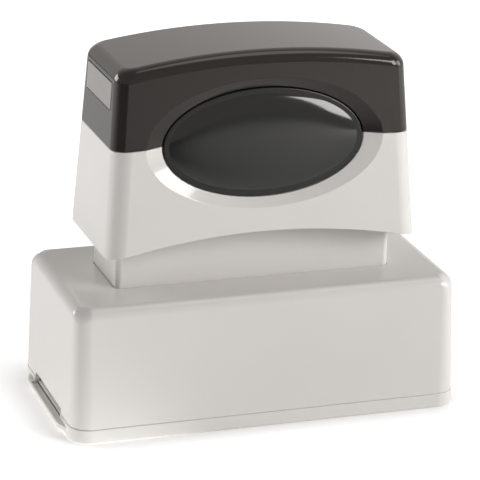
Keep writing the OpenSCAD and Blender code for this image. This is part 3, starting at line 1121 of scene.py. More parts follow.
@dataclass
class CoverTray:
    """The shallow tray under the base, with its pull tab.

    Attributes:
        draft: Draft of the rim, in degrees.
        corner_r: Radius of the upright corners at the rim.
        wall: Wall of the rim.
        floor: Thickness of the floor.
        foot_r: Rounding of the lower edge.
        rim_r: Rounding of the upper edge.
        rim_lift: How much closer the rim comes to the base than in the frame, where it needs room to slide.
        tab_low: Height of the pull tab's underside.
        tab_high: Height of the pull tab's top.
        tab_flat: Half length of the tab's straight edge.
        tab_half: Half length of the tab, where its edge has run into the wall.
        tab_sunk: How deep the tab's ends run into the wall.
        tab_lip: Width of the lip in front of the nail groove.
        groove_half: Half length of the nail groove.
        groove_depth: Depth of the nail groove.
        gap_x: Place of the gap between nail groove and skirt, from the tray's outline.
        gap_sill: Height of the gap's bottom over the floor, and its reach past the wall.
        lip_r: Rounding of the lip.
        roll_steps: Steps of a rounding.
        tab_steps: Steps of the tab's outline.
    """

    draft: float = 0.3
    corner_r: float = 4.76
    wall: float = 1.1
    floor: float = 1.2
    foot_r: float = 0.5
    rim_r: float = 0.15
    rim_lift: float = 0.07
    tab_low: float = 0.9
    tab_high: float = 2.1
    tab_flat: float = 12.5
    tab_half: float = 18.5
    tab_sunk: float = 0.275
    tab_lip: float = 0.4
    groove_half: float = 11.3
    groove_depth: float = 0.3
    gap_x: float = 0.5
    gap_sill: float = 0.1
    lip_r: float = 0.3
    roll_steps: int = 5
    tab_steps: int = 48

    def build(self) -> Piece:
        """Models and dresses the tray.

        Returns:
            The piece.
        """
        low, high = box_mm("dust_cover")
        rim = high.z + self.rim_lift
        slope = math.tan(math.radians(self.draft))
        foot = Plan(high.x, high.y, self.corner_r + slope * rim)
        inner = foot.inset(self.wall + slope * rim)
        piece = as_object(self.outside(foot, rim, slope), "cover_tray")
        carve(piece, Cut.AWAY, [prism(inner, self.floor, rim + PAST)])
        carve(piece, Cut.JOIN, [self.tab(low.x, foot.half_x)])
        carve(piece, Cut.AWAY, self.tab_cuts(low.x, foot.half_x, rim))
        clean(piece)
        finish_mesh(piece)
        return dress(piece, COVER_PLASTIC, Body.COVER, "dust_cover")

    def outside(self, foot: Plan, rim: float, slope: float) -> BMesh:
        """Makes the tray's outer form, rounded at foot and rim.

        Args:
            foot: Outline at the foot's rounding.
            rim: Height of the rim.
            slope: Slope of the wall.

        Returns:
            A closed mesh.
        """
        mesh = bmesh.new()
        face = foot.face(mesh, self.foot_r)
        wall_height = rim - self.foot_r - self.rim_r
        rise(mesh, face, slope * wall_height, wall_height)
        self.roll(mesh, face, self.rim_r)
        close(mesh)
        under = min(mesh.faces, key=lambda found: found.calc_center_median().z)
        self.roll(mesh, under, self.foot_r)
        return mesh

    def roll(self, mesh: BMesh, face: BMFace, radius: float) -> None:
        """Rolls a wall's end over into a face.

        Args:
            mesh: Mesh of the face.
            face: Face that closes the wall.
            radius: Radius of the roll.
        """
        turns = roll_turns(0.0, self.roll_steps)
        for before, after in zip(turns, turns[1:]):
            inset = radius * (math.cos(before) - math.cos(after))
            rise(mesh, face, inset, radius * (math.sin(after) - math.sin(before)))

    def tab_cuts(self, outer_x: float, half_x: float, rim: float) -> list[BMesh]:
        """Makes the tools for the nail groove and for the gap behind it, where the base's skirt stands.

        Args:
            outer_x: Outermost place of the tab.
            half_x: Half length of the tray.
            rim: Height of the rim.

        Returns:
            Closed meshes.
        """
        groove_low = (outer_x + self.tab_lip, -self.groove_half, self.tab_high - self.groove_depth)
        gap_low = (-half_x + self.gap_x, -self.groove_half - WELD, self.floor + self.gap_sill)
        inner_x = -half_x + self.wall + self.gap_sill
        top = rim + PAST
        return [
            slab(groove_low, (inner_x, self.groove_half, top)),
            slab(gap_low, (inner_x, self.groove_half + WELD, top)),
        ]

    def tab(self, outer_x: float, half_x: float) -> BMesh:
        """Makes the pull tab: a flange with a rolled lip whose ends run into the wall.

        Args:
            outer_x: Outermost place of the tab.
            half_x: Half length of the tray.

        Returns:
            A closed mesh.
        """
        reach = -half_x - outer_x + self.tab_sunk
        inner_x = -half_x + 2 * self.tab_sunk
        mesh = bmesh.new()
        outline = []
        for step in range(self.tab_steps + 1):
            y = self.tab_half * math.sin(math.pi * (step / self.tab_steps - 0.5))
            share = max(abs(y) - self.tab_flat, 0.0) / (self.tab_half - self.tab_flat)
            out = reach * (0.5 + 0.5 * math.cos(math.pi * share)) - self.tab_sunk
            outline.append(mesh.verts.new((-half_x - out, y, self.tab_low)))
        outline += [mesh.verts.new((inner_x, -end * self.tab_half, self.tab_low)) for end in ENDS]
        lift(mesh, mesh.faces.new(outline), self.tab_high - self.tab_low)
        close(mesh)
        rims = []
        for edge in mesh.edges:
            one, other = (end.co for end in edge.verts)
            if abs(one.z - other.z) < WELD and max(one.x, other.x) < inner_x - WELD:
                rims.append(edge)
        bmesh.ops.bevel(
            mesh, geom=rims, offset=self.lip_r, offset_type="OFFSET", segments=self.roll_steps,
            profile=0.5, affect="EDGES", material=-1,
        )
        return mesh


# Plunger


@dataclass
class Plunger:
    """The neck with its flange, and the ink-filled die that it carries.

    Attributes:
        neck_wall: Wall of the neck.
        neck_steps: Segments of the neck's upright corners.
        well_r: Rounding of the ink well's upright corners.
        flange: Thickness of the flange.
        flange_r: Corner radius of the flange and its ears.
        ear_half_y: Half width of the flange's ears.
        peg_r: Radius of a peg that centres a spring.
        peg_sunk: How deep a peg runs into the flange.
        peg_sides: Sides of a peg.
        port_r: Radius of an ink port.
        port_x: Place of the ink ports.
        port_sides: Sides of an ink port.
        edge: Rounding of the neck's and flange's edges.
        pad_r: Corner radius of felt and foam.
        felt_edge: Rounding of the felt's edges.
        foam_edge: Rounding of the foam's edges.
        foam_step: Width of the foam's edge around its printing face.
        face_height: Height of the printing face.
    """

    neck_wall: float = 1.6
    neck_steps: int = 8
    well_r: float = 0.6
    flange: float = 2.8
    flange_r: float = 2.0
    ear_half_y: float = 3.3
    peg_r: float = 1.4
    peg_sunk: float = 0.5
    peg_sides: int = 24
    port_r: float = 2.0
    port_x: float = 16.0
    port_sides: int = 32
    edge: float = 0.2
    pad_r: float = 1.0
    felt_edge: float = 0.5
    foam_edge: float = 0.3
    foam_step: float = 1.5
    face_height: float = 2.4

    def build(self, frame: dict) -> None:
        """Models and dresses the plunger's pieces.

        Args:
            frame: The loaded frame.
        """
        self.build_neck()
        self.build_felt()
        self.build_foam()
        for node in ("die_holder", "die_frame"):
            dress_node(frame, node, INNER_PLASTIC)

    def build_neck(self) -> Piece:
        """Models the neck: a hollow stalk on a flange with two ears, spring pegs and ink ports.

        Returns:
            The piece.
        """
        low, high = box_mm("stem")
        holder = box_mm("die_holder")[1]
        flange_low = holder.z
        flange_top = flange_low + self.flange
        spring_low, spring_high = box_mm("right_spring")
        peg_x = (spring_low.x + spring_high.x) / 2
        well = NECK.grown(-self.neck_wall, self.well_r)
        flange = Plan(holder.x, holder.y, self.flange_r)
        ears = Plan(high.x, self.ear_half_y, self.flange_r)
        piece = as_object(prism(NECK, flange_low, high.z, self.neck_steps), "neck")
        carve(piece, Cut.AWAY, [prism(well, flange_top, high.z + PAST, self.neck_steps)])
        carve(piece, Cut.JOIN, [
            prism(flange, flange_low, flange_top, SMALL_CORNER_STEPS),
            prism(ears, flange_low, flange_top, SMALL_CORNER_STEPS),
            *rods(peg_x, self.peg_r, low.z, flange_low + self.peg_sunk, self.peg_sides),
        ])
        ports = rods(self.port_x, self.port_r, flange_low - PAST, flange_top + PAST, self.port_sides)
        carve(piece, Cut.AWAY, ports)
        clean(piece)
        finish_mesh(piece, self.edge)
        return dress(piece, WHITE_PLASTIC, Body.PLUNGER, "stem")

    def build_felt(self) -> Piece:
        """Models the ink-soaked felt block.

        Returns:
            The piece.
        """
        low, high = box_mm("ink_reservoir")
        block = Plan(high.x, high.y, self.pad_r)
        piece = as_object(prism(block, low.z, high.z, SMALL_CORNER_STEPS), "ink_felt")
        finish_mesh(piece, self.felt_edge)
        dress(piece, INK_FELT, Body.PLUNGER, "ink_reservoir")
        return piece

    def build_foam(self) -> Piece:
        """Models the foam die: a plate with the raised printing face under it.

        Returns:
            The piece.
        """
        low, high = box_mm("stamp_die")
        step_z = low.z + self.face_height
        plate = Plan(high.x, high.y, self.pad_r)
        face = plate.grown(-self.foam_step, self.pad_r)
        piece = as_object(prism(face, low.z, step_z, SMALL_CORNER_STEPS), "foam_die")
        carve(piece, Cut.JOIN, [prism(plate, step_z, high.z, SMALL_CORNER_STEPS)])
        clean(piece)
        finish_mesh(piece, self.foam_edge)
        dress(piece, DIE_FOAM, Body.PLUNGER, "stamp_die")
        return piece


# Handle


@dataclass(frozen=True)
class Badge:
    """The oval badge on the handle's front: a black plate in a dished seat, and the polished dome on it.

    Attributes:
        half_up: Half height of the plate.
        depth: Depth of the plate's face below the handle's front.
        thickness: Thickness of the plate.
        gap: Gap around the plate.
        dish_reach: Width of the dish around the plate.
        dish_foot: Height of the pocket's wall below the dish.
        dish_lip: Half height of the dish's rounded lip.
        dish_clear: How far the tool stands out of the front.
        rim: Width of the plate's rim around the dome.
        dome: Rise of the dome.
        dome_soft: Share of the rise that is an even bulge, while the rest is a rolled edge.
        dome_power: Sharpness of the rolled edge.
        dome_steps: Rings of the dome.
        edge: Rounding of the plate's edges.
        edge_steps: Segments of that rounding.
    """

    half_up: float = 12.0
    depth: float = 1.4
    thickness: float = 1.2
    gap: float = 0.2
    dish_reach: float = 4.0
    dish_foot: float = 0.2
    dish_lip: float = 0.02
    dish_clear: float = 0.25
    rim: float = 1.3
    dome: float = 1.2
    dome_soft: float = 0.35
    dome_power: int = 8
    dome_steps: int = 22
    edge: float = 0.35
    edge_steps: int = 4

    @property
    def half_x(self) -> float:
        """Half length of the plate."""
        return box_mm("badge_plate")[1].x

    @property
    def middle(self) -> float:
        """Height of the plate's middle."""
        low, high = box_mm("badge_plate")
        return (low.z + high.z) / 2

    def seat(self, place: Matrix) -> BMesh:
        """Makes the tool for the plate's pocket and the dish around it.

        Args:
            place: The badge's place on the front.

        Returns:
            A closed mesh.
        """
        half_x = self.half_x + self.gap
        half_up = self.half_up + self.gap
        rings = [(half_x, half_up, -self.depth - below) for below in (self.thickness, self.dish_foot)]
        # Share of the dish's width, and the level there
        slope = (
            (0.04, -self.depth),
            (0.9, -0.1 * self.depth),
            (1.0, -self.dish_lip),
            (1.06, self.dish_lip),
            (1.4, self.dish_clear),
        )
        for share, level in slope:
            grow = 1 + self.dish_reach / half_x * share
            rings.append((half_x * grow, half_up * grow, level))
        return oval(rings, place)

    def build(self, place: Matrix) -> None:
        """Models and dresses plate and dome.

        Args:
            place: The badge's place on the front.
        """
        outline = (self.half_x, self.half_up)
        plate = oval([(*outline, -self.depth - self.thickness), (*outline, -self.depth)], place)
        piece = as_object(plate, "badge_plate_piece")
        finish_mesh(piece, self.edge, self.edge_steps)
        dress(piece, BADGE_BLACK, Body.HANDLE, "badge_plate")
        rings = []
        for step in range(self.dome_steps):
            share = math.cos(math.pi / 2 * step / self.dome_steps)
            drop = self.dome_soft * share**2 + (1 - self.dome_soft) * share**self.dome_power
            level = -self.depth + self.dome * (1 - drop)
            rings.append(((self.half_x - self.rim) * share, (self.half_up - self.rim) * share, level))
        lens = as_object(oval(rings, place), "badge_lens")
        finish_mesh(lens)
        dress(lens, BADGE_GLOSS, Body.HANDLE, "badge_dome")


@dataclass(frozen=True)
class IndexPlate:
    """The pale insert in the left end of the handle's cap.

    Attributes:
        half_up: Half height.
        half_y: Half width.
        corner_r: Corner radius.
        depth: Depth in the cap.
        proud: How far it stands out of the cap's end.
        gap: Gap around it.
        edge: Rounding of its edges.
        steps: Segments of its corners.
    """

    half_up: float = 2.95
    half_y: float = 9.7
    corner_r: float = 0.4
    depth: float = 0.8
    proud: float = 0.1
    gap: float = 0.12
    edge: float = 0.12
    steps: int = 5

    @property
    def middle(self) -> float:
        """Height of the plate's middle."""
        low, high = box_mm("index_plate")
        return (low.z + high.z) / 2

    def block(self, place: Matrix, grow: float, top: float) -> BMesh:
        """Makes the plate's block, or the tool for its seat.

        Args:
            place: The plate's place on the cap's end.
            grow: Distance that its outline is grown.
            top: Height of its face over the cap's end.

        Returns:
            A closed mesh.
        """
        plan = Plan(self.half_up, self.half_y, self.corner_r).inset(-grow)
        mesh = prism(plan, -self.depth, top, self.steps)
        bmesh.ops.transform(mesh, matrix=place, verts=mesh.verts[:])
        return mesh

    def build(self, place: Matrix) -> Piece:
        """Models and dresses the plate.

        Args:
            place: The plate's place on the cap's end.

        Returns:
            The piece.
        """
        piece = as_object(self.block(place, 0.0, self.proud), "index_tile")
        finish_mesh(piece, self.edge)
        return dress(piece, INDEX_PLASTIC, Body.HANDLE, "index_plate")


@dataclass
class Handle:
    """The pull-off handle: white shell, dark crowned cap, badge and index plate.

    Attributes:
        draft: Draft of the walls, in degrees.
        corner_r: Radius of the upright corners.
        arch_rise: Rise of the arch under the shell.
        crown_rise: Rise of the crowned top.
        end_roll: Rounding of the top at the two ends.
        edge_roll: Rounding of the top along front and back.
        roll_draw: Share of the roll by which the top's corners get tighter.
        least_r: Least radius of the top's corners.
        parting_rise: Rise of the parting line at mid length.
        parting_gap: Gap between shell and cap.
        socket_gap: Gap between the neck and its socket.
        socket_r: Corner radius of the socket.
        deck_gap: Gap over the neck.
        sleeve_y: Half depth of the sleeve around the socket.
        wall: Wall behind the pockets.
        front_wall: Wall before the pockets, measured at the deck's height.
        end_wall: Wall at the ends of the pockets.
        rib_x: Place of the ribs between the pockets.
        rib_half: Half thickness of a rib.
        mid_pocket: Height of the front pocket under the badge.
        end_pocket: Height of the front pockets beside it.
        edge: Rounding of the other edges.
        roll_steps: Steps of the top's rounding.
        corner_steps: Steps of an upright corner.
        length_steps: Steps along the length.
        badge: The badge.
        index: The index plate.
    """

    draft: float = 4.0
    corner_r: float = 4.1
    arch_rise: float = 4.3
    crown_rise: float = 3.15
    end_roll: float = 2.6
    edge_roll: float = 2.9
    roll_draw: float = 0.75
    least_r: float = 0.5
    parting_rise: float = 0.9
    parting_gap: float = 0.05
    socket_gap: float = 0.3
    socket_r: float = 1.8
    deck_gap: float = 0.1
    sleeve_y: float = 11.4
    wall: float = 1.8
    front_wall: float = 1.2
    end_wall: float = 2.8
    rib_x: float = 16.0
    rib_half: float = 0.6
    mid_pocket: float = 8.6
    end_pocket: float = 10.5
    edge: float = 0.2
    roll_steps: int = 9
    corner_steps: int = 12
    length_steps: int = 48
    badge: Badge = Badge()
    index: IndexPlate = IndexPlate()
    low: Vector = field(init=False)
    high: Vector = field(init=False)
    slope: float = field(init=False)
    parting: float = field(init=False)
    crown: float = field(init=False)

    def __post_init__(self) -> None:
        """Takes sizes and heights from the frame."""
        self.low, self.high = box_mm("handle_shell")
        self.slope = math.tan(math.radians(self.draft))
        cap_low, cap_high = box_mm("handle_cap")
        self.parting = cap_low.z
        self.crown = cap_high.z

    def plan(self, z: float) -> Plan:
        """Gives the outer outline at a height.

        Args:
            z: Height.

        Returns:
            The outline.
        """
        inset = self.slope * (z - self.low.z)
        return Plan(self.high.x - inset, self.high.y - inset, self.corner_r)

    def arc(self, x: float, half: float, top: float, rise_by: float) -> float:
        """Gives the height of a shallow arc over the handle's length.

        Args:
            x: Place along the length.
            half: Half length of the arc's chord.
            top: Height at mid length.
            rise_by: Rise over the chord.

        Returns:
            The height at x.
        """
        radius = (half * half + rise_by * rise_by) / (2 * rise_by)
        return top - radius + math.sqrt(radius * radius - min(x * x, half * half))

    def arch_z(self, x: float) -> float:
        """Gives the height of the shell's arched underside."""
        return self.arc(x, self.high.x, self.low.z + self.arch_rise, self.arch_rise)

    def parting_z(self, x: float) -> float:
        """Gives the height of the parting line."""
        half = self.plan(self.parting).half_x
        return self.arc(x, half, self.parting + self.parting_rise, self.parting_rise)

    def foot_z(self, x: float) -> float:
        """Gives the height of the cap's lower edge."""
        return self.parting_z(x) + self.parting_gap

    def crown_z(self, x: float) -> float:
        """Gives the height of the crowned top before its edges are rolled."""
        half = self.plan(self.crown - self.crown_rise).half_x
        return self.arc(x, half, self.crown, self.crown_rise)

    def on_front(self) -> Matrix:
        """Gives the badge's place on the front face, with Z outwards and Y up."""
        turn = Matrix.Rotation(math.radians(90 - self.draft), 4, "X")
        return Matrix.Translation((0.0, -self.plan(self.badge.middle).half_y, self.badge.middle)) @ turn

    def on_end(self) -> Matrix:
        """Gives the index plate's place on the left end, with Z outwards and X up."""
        turn = Matrix.Rotation(math.radians(self.draft - 90), 4, "Y")
        return Matrix.Translation((-self.plan(self.index.middle).half_x, 0.0, self.index.middle)) @ turn

    def skin(self, levels: Sequence[Placing]) -> BMesh:
        """Makes a closed body from rings around the handle, with strips across its top and underside.

        Args:
            levels: For each ring, where a point of the lowest outline goes.

        Returns:
            A closed mesh.
        """
        mesh = bmesh.new()
        lowest = self.plan(self.low.z)
        lowest.outline(mesh, 0.0, self.corner_steps)
        long_edges = [edge for edge in mesh.edges if abs(edge.verts[0].co.y - edge.verts[1].co.y) < WELD]
        bmesh.ops.subdivide_edges(mesh, edges=long_edges, cuts=self.length_steps - 1)
        rings = stack_rings(mesh, levels)
        for ring in (set(rings[0]), set(rings[-1])):
            around = [edge for edge in mesh.edges if ring.issuperset(edge.verts)]
            sides = [edge for edge in around if edge.verts[0].co.y * edge.verts[1].co.y > 0]
            bmesh.ops.bridge_loops(mesh, edges=sides)
        bmesh.ops.recalc_face_normals(mesh, faces=mesh.faces[:])
        flat_x = lowest.core[0] + WELD
        for side in ENDS:
            flat = [vert for vert in (*rings[0], *rings[1]) if abs(vert.co.x) < flat_x]
            wall = {vert for vert in flat if vert.co.y * side > 0}
            columns = [face for face in mesh.faces if wall.issuperset(face.verts)]
            bmesh.ops.dissolve_faces(mesh, faces=columns, use_verts=False)
        return mesh

    def wall_level(self, height: Callable[[float], float]) -> Placing:
        """Gives the ring where the drafted wall meets a given height.

        Args:
            height: Height as a function of the place along the length.

        Returns:
            Where a point of the lowest outline goes.
        """
        lowest = self.plan(self.low.z)

        def place(point: Vector) -> Vector:
            """Gives the point of the ring over a point of the lowest outline.

            Args:
                point: A point of the lowest outline.

            Returns:
                The point of the ring.
            """
            placed = lowest.refit(point, self.plan(height(point.x)))
            return Vector((placed.x, placed.y, height(placed.x)))

        return place

    def roll_level(self, turn: float) -> Placing:
        """Gives a ring of the rolled edge between wall and crown.

        Args:
            turn: Angle of the roll, from nearly upright wall to flat top.

        Returns:
            Where a point of the lowest outline goes.
        """
        lowest = self.plan(self.low.z)
        start = math.radians(self.draft)
        drawn = math.cos(start) - math.cos(turn)
        in_x = self.end_roll * drawn
        in_y = self.edge_roll * drawn

        def place(point: Vector) -> Vector:
            """Gives the point of the ring over a point of the lowest outline.

            Args:
                point: A point of the lowest outline.

            Returns:
                The point of the ring.
            """
            core_x, core_y = lowest.core
            out_x = max(abs(point.x) - core_x, 0.0) / lowest.radius
            out_y = max(abs(point.y) - core_y, 0.0) / lowest.radius
            roll = (self.end_roll * out_x**2 + self.edge_roll * out_y**2) / (out_x**2 + out_y**2)
            wall = self.plan(self.crown_z(point.x) - roll * (1 - math.sin(start)))
            radius = max(wall.radius - min(in_x, in_y) * self.roll_draw, self.least_r)
            placed = lowest.refit(point, Plan(wall.half_x - in_x, wall.half_y - in_y, radius))
            placed.z = self.crown_z(placed.x) - roll * (1 - math.sin(turn))
            return placed

        return place

    def build(self) -> None:
        """Models and dresses the handle's pieces."""
        self.build_shell()
        self.build_cap()
        self.badge.build(self.on_front())
        self.index.build(self.on_end())

    def build_shell(self) -> Piece:
        """Models the white lower half, with its socket and pockets.

        Returns:
            The piece.
        """
        mesh = self.skin([self.wall_level(self.arch_z), self.wall_level(self.parting_z)])
        piece = as_object(mesh, "grip_shell")
        deck = box_mm("stem")[1].z + self.deck_gap
        socket = NECK.grown(self.socket_gap, self.socket_r)
        carve(piece, Cut.AWAY, [
            prism(socket, self.low.z - PAST, deck, SMALL_CORNER_STEPS),
            *self.pockets(deck),
            self.badge.seat(self.on_front()),
        ])
        clean(piece)
        finish_mesh(piece, self.edge)
        return dress(piece, WHITE_PLASTIC, Body.HANDLE, "handle_shell")

    def pockets(self, deck: float) -> list[BMesh]:
        """Makes the tools for the hollows between socket and wall, which ribs part from each other.

        Args:
            deck: Height of the deck over the socket.

        Returns:
            Closed meshes.
        """
        roof = self.plan(deck)
        under = self.low.z - PAST
        end_x = roof.half_x - self.end_wall
        near_x = self.rib_x - self.rib_half
        far_x = self.rib_x + self.rib_half
        bays = (
            (-end_x, -far_x, self.end_pocket),
            (-near_x, near_x, self.mid_pocket),
            (far_x, end_x, self.end_pocket),
        )
        tools = []
        for low_x, high_x, height in bays:
            tools.append(slab((low_x, self.sleeve_y, under), (high_x, roof.half_y - self.wall, deck)))
            front = (low_x, -roof.half_y + self.front_wall, under)
            tools.append(slab(front, (high_x, -self.sleeve_y, self.low.z + height)))
        return tools

    def build_cap(self) -> Piece:
        """Models the dark upper half with its crowned, rolled top.

        Returns:
            The piece.
        """
        rolls = [self.roll_level(turn) for turn in roll_turns(self.draft, self.roll_steps)]
        piece = as_object(self.skin([self.wall_level(self.foot_z), *rolls]), "grip_cap")
        index_seat = self.index.block(self.on_end(), self.index.gap, PAST)
        carve(piece, Cut.AWAY, [self.badge.seat(self.on_front()), index_seat])
        clean(piece)
        finish_mesh(piece, self.edge)
        return dress(piece, SMOKE_PLASTIC, Body.HANDLE, "handle_cap")


# Studio


@dataclass(frozen=True)
class SoftBox:
    """A large soft lamp aimed at the object.

    Attributes:
        name: Name of the lamp.
        azimuth: Direction around the object, in degrees: 0 is the front, 90 the right.
        elevation: Height of the direction, in degrees.
        width: Width of the lamp.
        height: Height of the lamp.
        power: Power in watts.
        distance: Distance from the object.
    """

    name: str
    azimuth: float
    elevation: float
    width: float
    height: float
    power: float
    distance: float = 0.8

    def build(self, aim: Vector) -> None:
        """Hangs the lamp.

        Args:
            aim: Point that the lamp faces.
        """
        data = bpy.data.lights.new(self.name, "AREA")
        data.shape = "RECTANGLE"
        data.size = self.width
        data.size_y = self.height
        data.energy = self.power
        lamp = bpy.data.objects.new(self.name, data)
        bpy.context.scene.collection.objects.link(lamp)
        back = bearing(self.azimuth, self.elevation)
        lamp.location = aim + back * self.distance
        lamp.rotation_mode = "QUATERNION"
        lamp.rotation_quaternion = (-back).to_track_quat("-Z", "Y")


@dataclass(frozen=True)
class Studio:
    """Floor, light and camera around the object.

    Attributes:
        azimuth: Camera's direction around the object, in degrees.
        elevation: Camera's height above the horizon, in degrees.
        roll: Camera's roll, in degrees.
        distance: Camera's distance from its target, in millimetres.
        target: Point that the camera faces, in millimetres.
        focal_px: Focal length in pixels of a frame that is frame_px wide.
        frame_px: Width of that frame.
        sensor: Width of the camera's sensor, in millimetres.
        lamps: The lamps.
        lamp_aim: Height that the lamps face, in metres.
        ambient: Strength of the surround for diffuse light.
        gloss: Strength of the surround in reflections.
        backdrop: Strength of the surround as camera and glass see it.
        room_tint: Colour of the room in reflections.
        bright_side: Direction of the room's bright backdrop: around the object and up, in degrees.
        bright_gain: Strength that the backdrop adds there in reflections.
        panel_side: Direction of the ceiling panel that edges reflect: around the object and up, in degrees.
        panel_gain: Strength of that panel in reflections.
        panel_reach: Cosines of the panel's rim and core.
        wide_reach: Cosines of the rim and core of backdrop and dark side.
        floor_half: Half width of the floor, in metres.
        floor_tone: Colour of the floor.
        floor_near: Light that the white floor gives to the camera close to the object.
        floor_far: The same, away from the object, where the lamps no longer reach.
        floor_fade: Distances between which the one becomes the other, in metres.
        floor_bounce: Light that the floor gives to diffuse surfaces.
        floor_gloss: Light that the floor adds in reflections.
        dark_side: Direction of the floor's unlit side, in degrees around the object.
        dark_share: Share of the floor's lightness that reflections show on that side.
        dark_fade: Distances between which that side begins, in metres.
        glow_side: Direction of the floor's brightly lit side, in degrees around the object.
        glow_gain: Light that the floor adds on that side for diffuse surfaces.
        glow_reach: Cosines of the rim and core of that side.
        contact: Reach of the shadow around the object's foot, in metres.
        contact_share: Share of the floor's own light that is left there.
        contact_fade: Open shares of the sky between which the shadow fades.
        contact_samples: Samples of that shadow.
    """

    azimuth: float = -18.557
    elevation: float = 19.024
    roll: float = 1.316
    distance: float = 594.4
    target: tuple[float, float, float] = (-0.28, 0.0, 36.055)
    focal_px: float = 2641.3
    frame_px: float = 480.0
    sensor: float = 36.0
    lamps: tuple[SoftBox, ...] = (
        SoftBox("key_light", azimuth=45.0, elevation=23.0, width=0.36, height=0.36, power=3.75),
        SoftBox("left_light", azimuth=-130.0, elevation=15.0, width=0.4, height=0.3, power=2.5),
        SoftBox("right_light", azimuth=78.0, elevation=13.0, width=0.4, height=0.35, power=1.9),
    )
    lamp_aim: float = 0.04
    ambient: float = 0.17
    gloss: float = 0.5
    backdrop: float = 1.0
    room_tint: Colour = (1.0, 0.965, 0.935)
    bright_side: Span = (158.0, 15.0)
    bright_gain: float = 0.43
    panel_side: Span = (75.0, 72.0)
    panel_gain: float = 1.7
    panel_reach: Span = (0.955, 0.985)
    wide_reach: Span = (0.3, 0.9)
    floor_half: float = 6.0
    floor_tone: Colour = (0.88, 0.875, 0.865)
    floor_near: float = 0.68
    floor_far: float = 0.95
    floor_fade: Span = (0.08, 0.36)
    floor_bounce: float = 0.07
    floor_gloss: float = 0.32
    dark_side: float = -45.0
    dark_share: float = 0.3
    dark_fade: Span = (0.06, 0.2)
    glow_side: float = -90.0
    glow_gain: float = 1.0
    glow_reach: Span = (0.45, 0.95)
    contact: float = 0.011
    contact_share: float = 0.25
    contact_fade: Span = (0.5, 1.0)
    contact_samples: int = 8

    def build(self) -> None:
        """Sets up floor, surround, lamps, camera and view."""
        self.build_floor()
        self.build_surround()
        for lamp in self.lamps:
            lamp.build(Vector((0.0, 0.0, self.lamp_aim)))
        self.build_camera()
        bpy.context.scene.view_settings.view_transform = "Standard"

    def build_floor(self) -> None:
        """Lays the pale floor."""
        mesh = bmesh.new()
        bmesh.ops.create_grid(mesh, x_segments=1, y_segments=1, size=self.floor_half)
        floor = as_object(mesh, "floor")
        floor.data.materials.append(self.floor_material())

    def floor_material(self) -> bpy.types.Material:
        """Builds the floor's material: matte, with a light of its own that keeps it white around the shadow.

        Returns:
            The material.
        """
        made = bpy.data.materials.new("studio_floor")
        graph = Graph.of(made)
        path = graph.add("ShaderNodeLightPath").outputs
        where = graph.add("ShaderNodeTexCoord").outputs["Object"]
        away = graph.add("ShaderNodeVectorMath", operation="LENGTH")
        side = graph.add("ShaderNodeVectorMath", operation="NORMALIZE")
        for node in (away, side):
            graph.link(where, node.inputs[0])
        distance = away.outputs["Value"]
        around = side.outputs["Vector"]
        # Reflections see the unlit side of the floor
        lit = graph.lobe(around, (self.dark_side, 0.0), (1.0, self.dark_share), self.wide_reach)
        begun = graph.ramp(distance, self.dark_fade, FULL)
        share = graph.blend(graph.reckon(Sum.TIMES, begun, path["Is Glossy Ray"]), 1.0, lit)
        tone = graph.add("ShaderNodeVectorMath", operation="SCALE")
        tone.inputs[0].default_value = self.floor_tone
        graph.link(share, tone.inputs["Scale"])
        matte = graph.add("ShaderNodeBsdfDiffuse")
        graph.link(tone.outputs["Vector"], matte.inputs["Color"])
        # The camera sees white, less the shadow where the object stands
        open_sky = graph.add("ShaderNodeAmbientOcclusion", samples=self.contact_samples)
        open_sky.inputs["Distance"].default_value = self.contact
        clear = graph.ramp(open_sky.outputs["AO"], self.contact_fade, (self.contact_share, 1.0))
        plain = graph.ramp(distance, self.floor_fade, (self.floor_near, self.floor_far))
        shown = graph.reckon(Sum.TIMES, plain, clear)
        # The object gets a soft bounce, most from the lit side
        bounces = (self.floor_bounce, self.floor_bounce + self.glow_gain)
        soft = graph.lobe(around, (self.glow_side, 0.0), bounces, self.glow_reach)
        bounce = graph.blend(path["Is Glossy Ray"], soft, self.floor_gloss)
        glow = graph.add("ShaderNodeEmission")
        glow.inputs["Color"].default_value = (*WHITE, 1.0)
        strength = graph.blend(path["Is Camera Ray"], graph.reckon(Sum.TIMES, bounce, share), shown)
        graph.link(strength, glow.inputs["Strength"])
        both = graph.add("ShaderNodeAddShader")
        graph.link(matte.outputs[0], both.inputs[0])
        graph.link(glow.outputs[0], both.inputs[1])
        out = graph.add("ShaderNodeOutputMaterial")
        graph.link(both.outputs[0], out.inputs["Surface"])
        return made

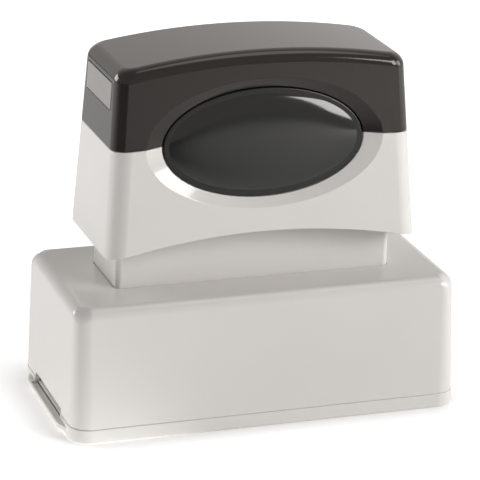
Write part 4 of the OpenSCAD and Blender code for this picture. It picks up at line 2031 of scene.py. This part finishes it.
    def build_surround(self) -> None:
        """Makes the surround white to camera and glass, dim as diffuse light, a lit room in reflections."""
        world = bpy.data.worlds.new("surround")
        bpy.context.scene.world = world
        graph = Graph.of(world)
        path = graph.add("ShaderNodeLightPath").outputs
        where = graph.add("ShaderNodeTexCoord").outputs["Generated"]
        walls = (self.gloss, self.gloss + self.bright_gain)
        room = graph.lobe(where, self.bright_side, walls, self.wide_reach)
        panel = graph.lobe(where, self.panel_side, (0.0, self.panel_gain), self.panel_reach)
        lit = graph.blend(path["Is Glossy Ray"], self.ambient, graph.reckon(Sum.PLUS, room, panel))
        seen = graph.reckon(Sum.LARGER, path["Is Camera Ray"], path["Is Transmission Ray"])
        light = graph.add("ShaderNodeBackground")
        graph.link(graph.tint(path["Is Glossy Ray"], WHITE, self.room_tint), light.inputs["Color"])
        graph.link(graph.blend(seen, lit, self.backdrop), light.inputs["Strength"])
        out = graph.add("ShaderNodeOutputWorld")
        graph.link(light.outputs[0], out.inputs["Surface"])

    def build_camera(self) -> None:
        """Stands the camera at the photograph's angle."""
        around = math.radians(self.azimuth)
        roll = math.radians(self.roll)
        back = bearing(self.azimuth, self.elevation)
        level = Vector((math.cos(around), math.sin(around), 0.0))
        above = back.cross(level)
        right = level * math.cos(roll) + above * math.sin(roll)
        top = above * math.cos(roll) - level * math.sin(roll)
        data = bpy.data.cameras.new("camera")
        data.sensor_width = self.sensor
        data.lens = self.focal_px * self.sensor / self.frame_px
        camera = bpy.data.objects.new("camera", data)
        bpy.context.scene.collection.objects.link(camera)
        turn = Matrix((right, top, back)).transposed().to_4x4()
        place = (Vector(self.target) + back * self.distance) * MM
        camera.matrix_world = Matrix.Translation(place) @ turn
        bpy.context.scene.camera = camera


def main() -> None:
    """Builds the dressed stamp around the frame and the studio around it."""
    logging.basicConfig(level=logging.INFO, format="%(name)s: %(message)s")
    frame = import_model()
    BaseShell().build()
    for node in ("left_spring", "right_spring"):
        ReturnSpring(node).build(frame)
    dress_node(frame, "bottom_frame", INNER_PLASTIC)
    CoverTray().build()
    Plunger().build(frame)
    Handle().build()
    Studio().build()


if __name__ == "__main__":
    main()
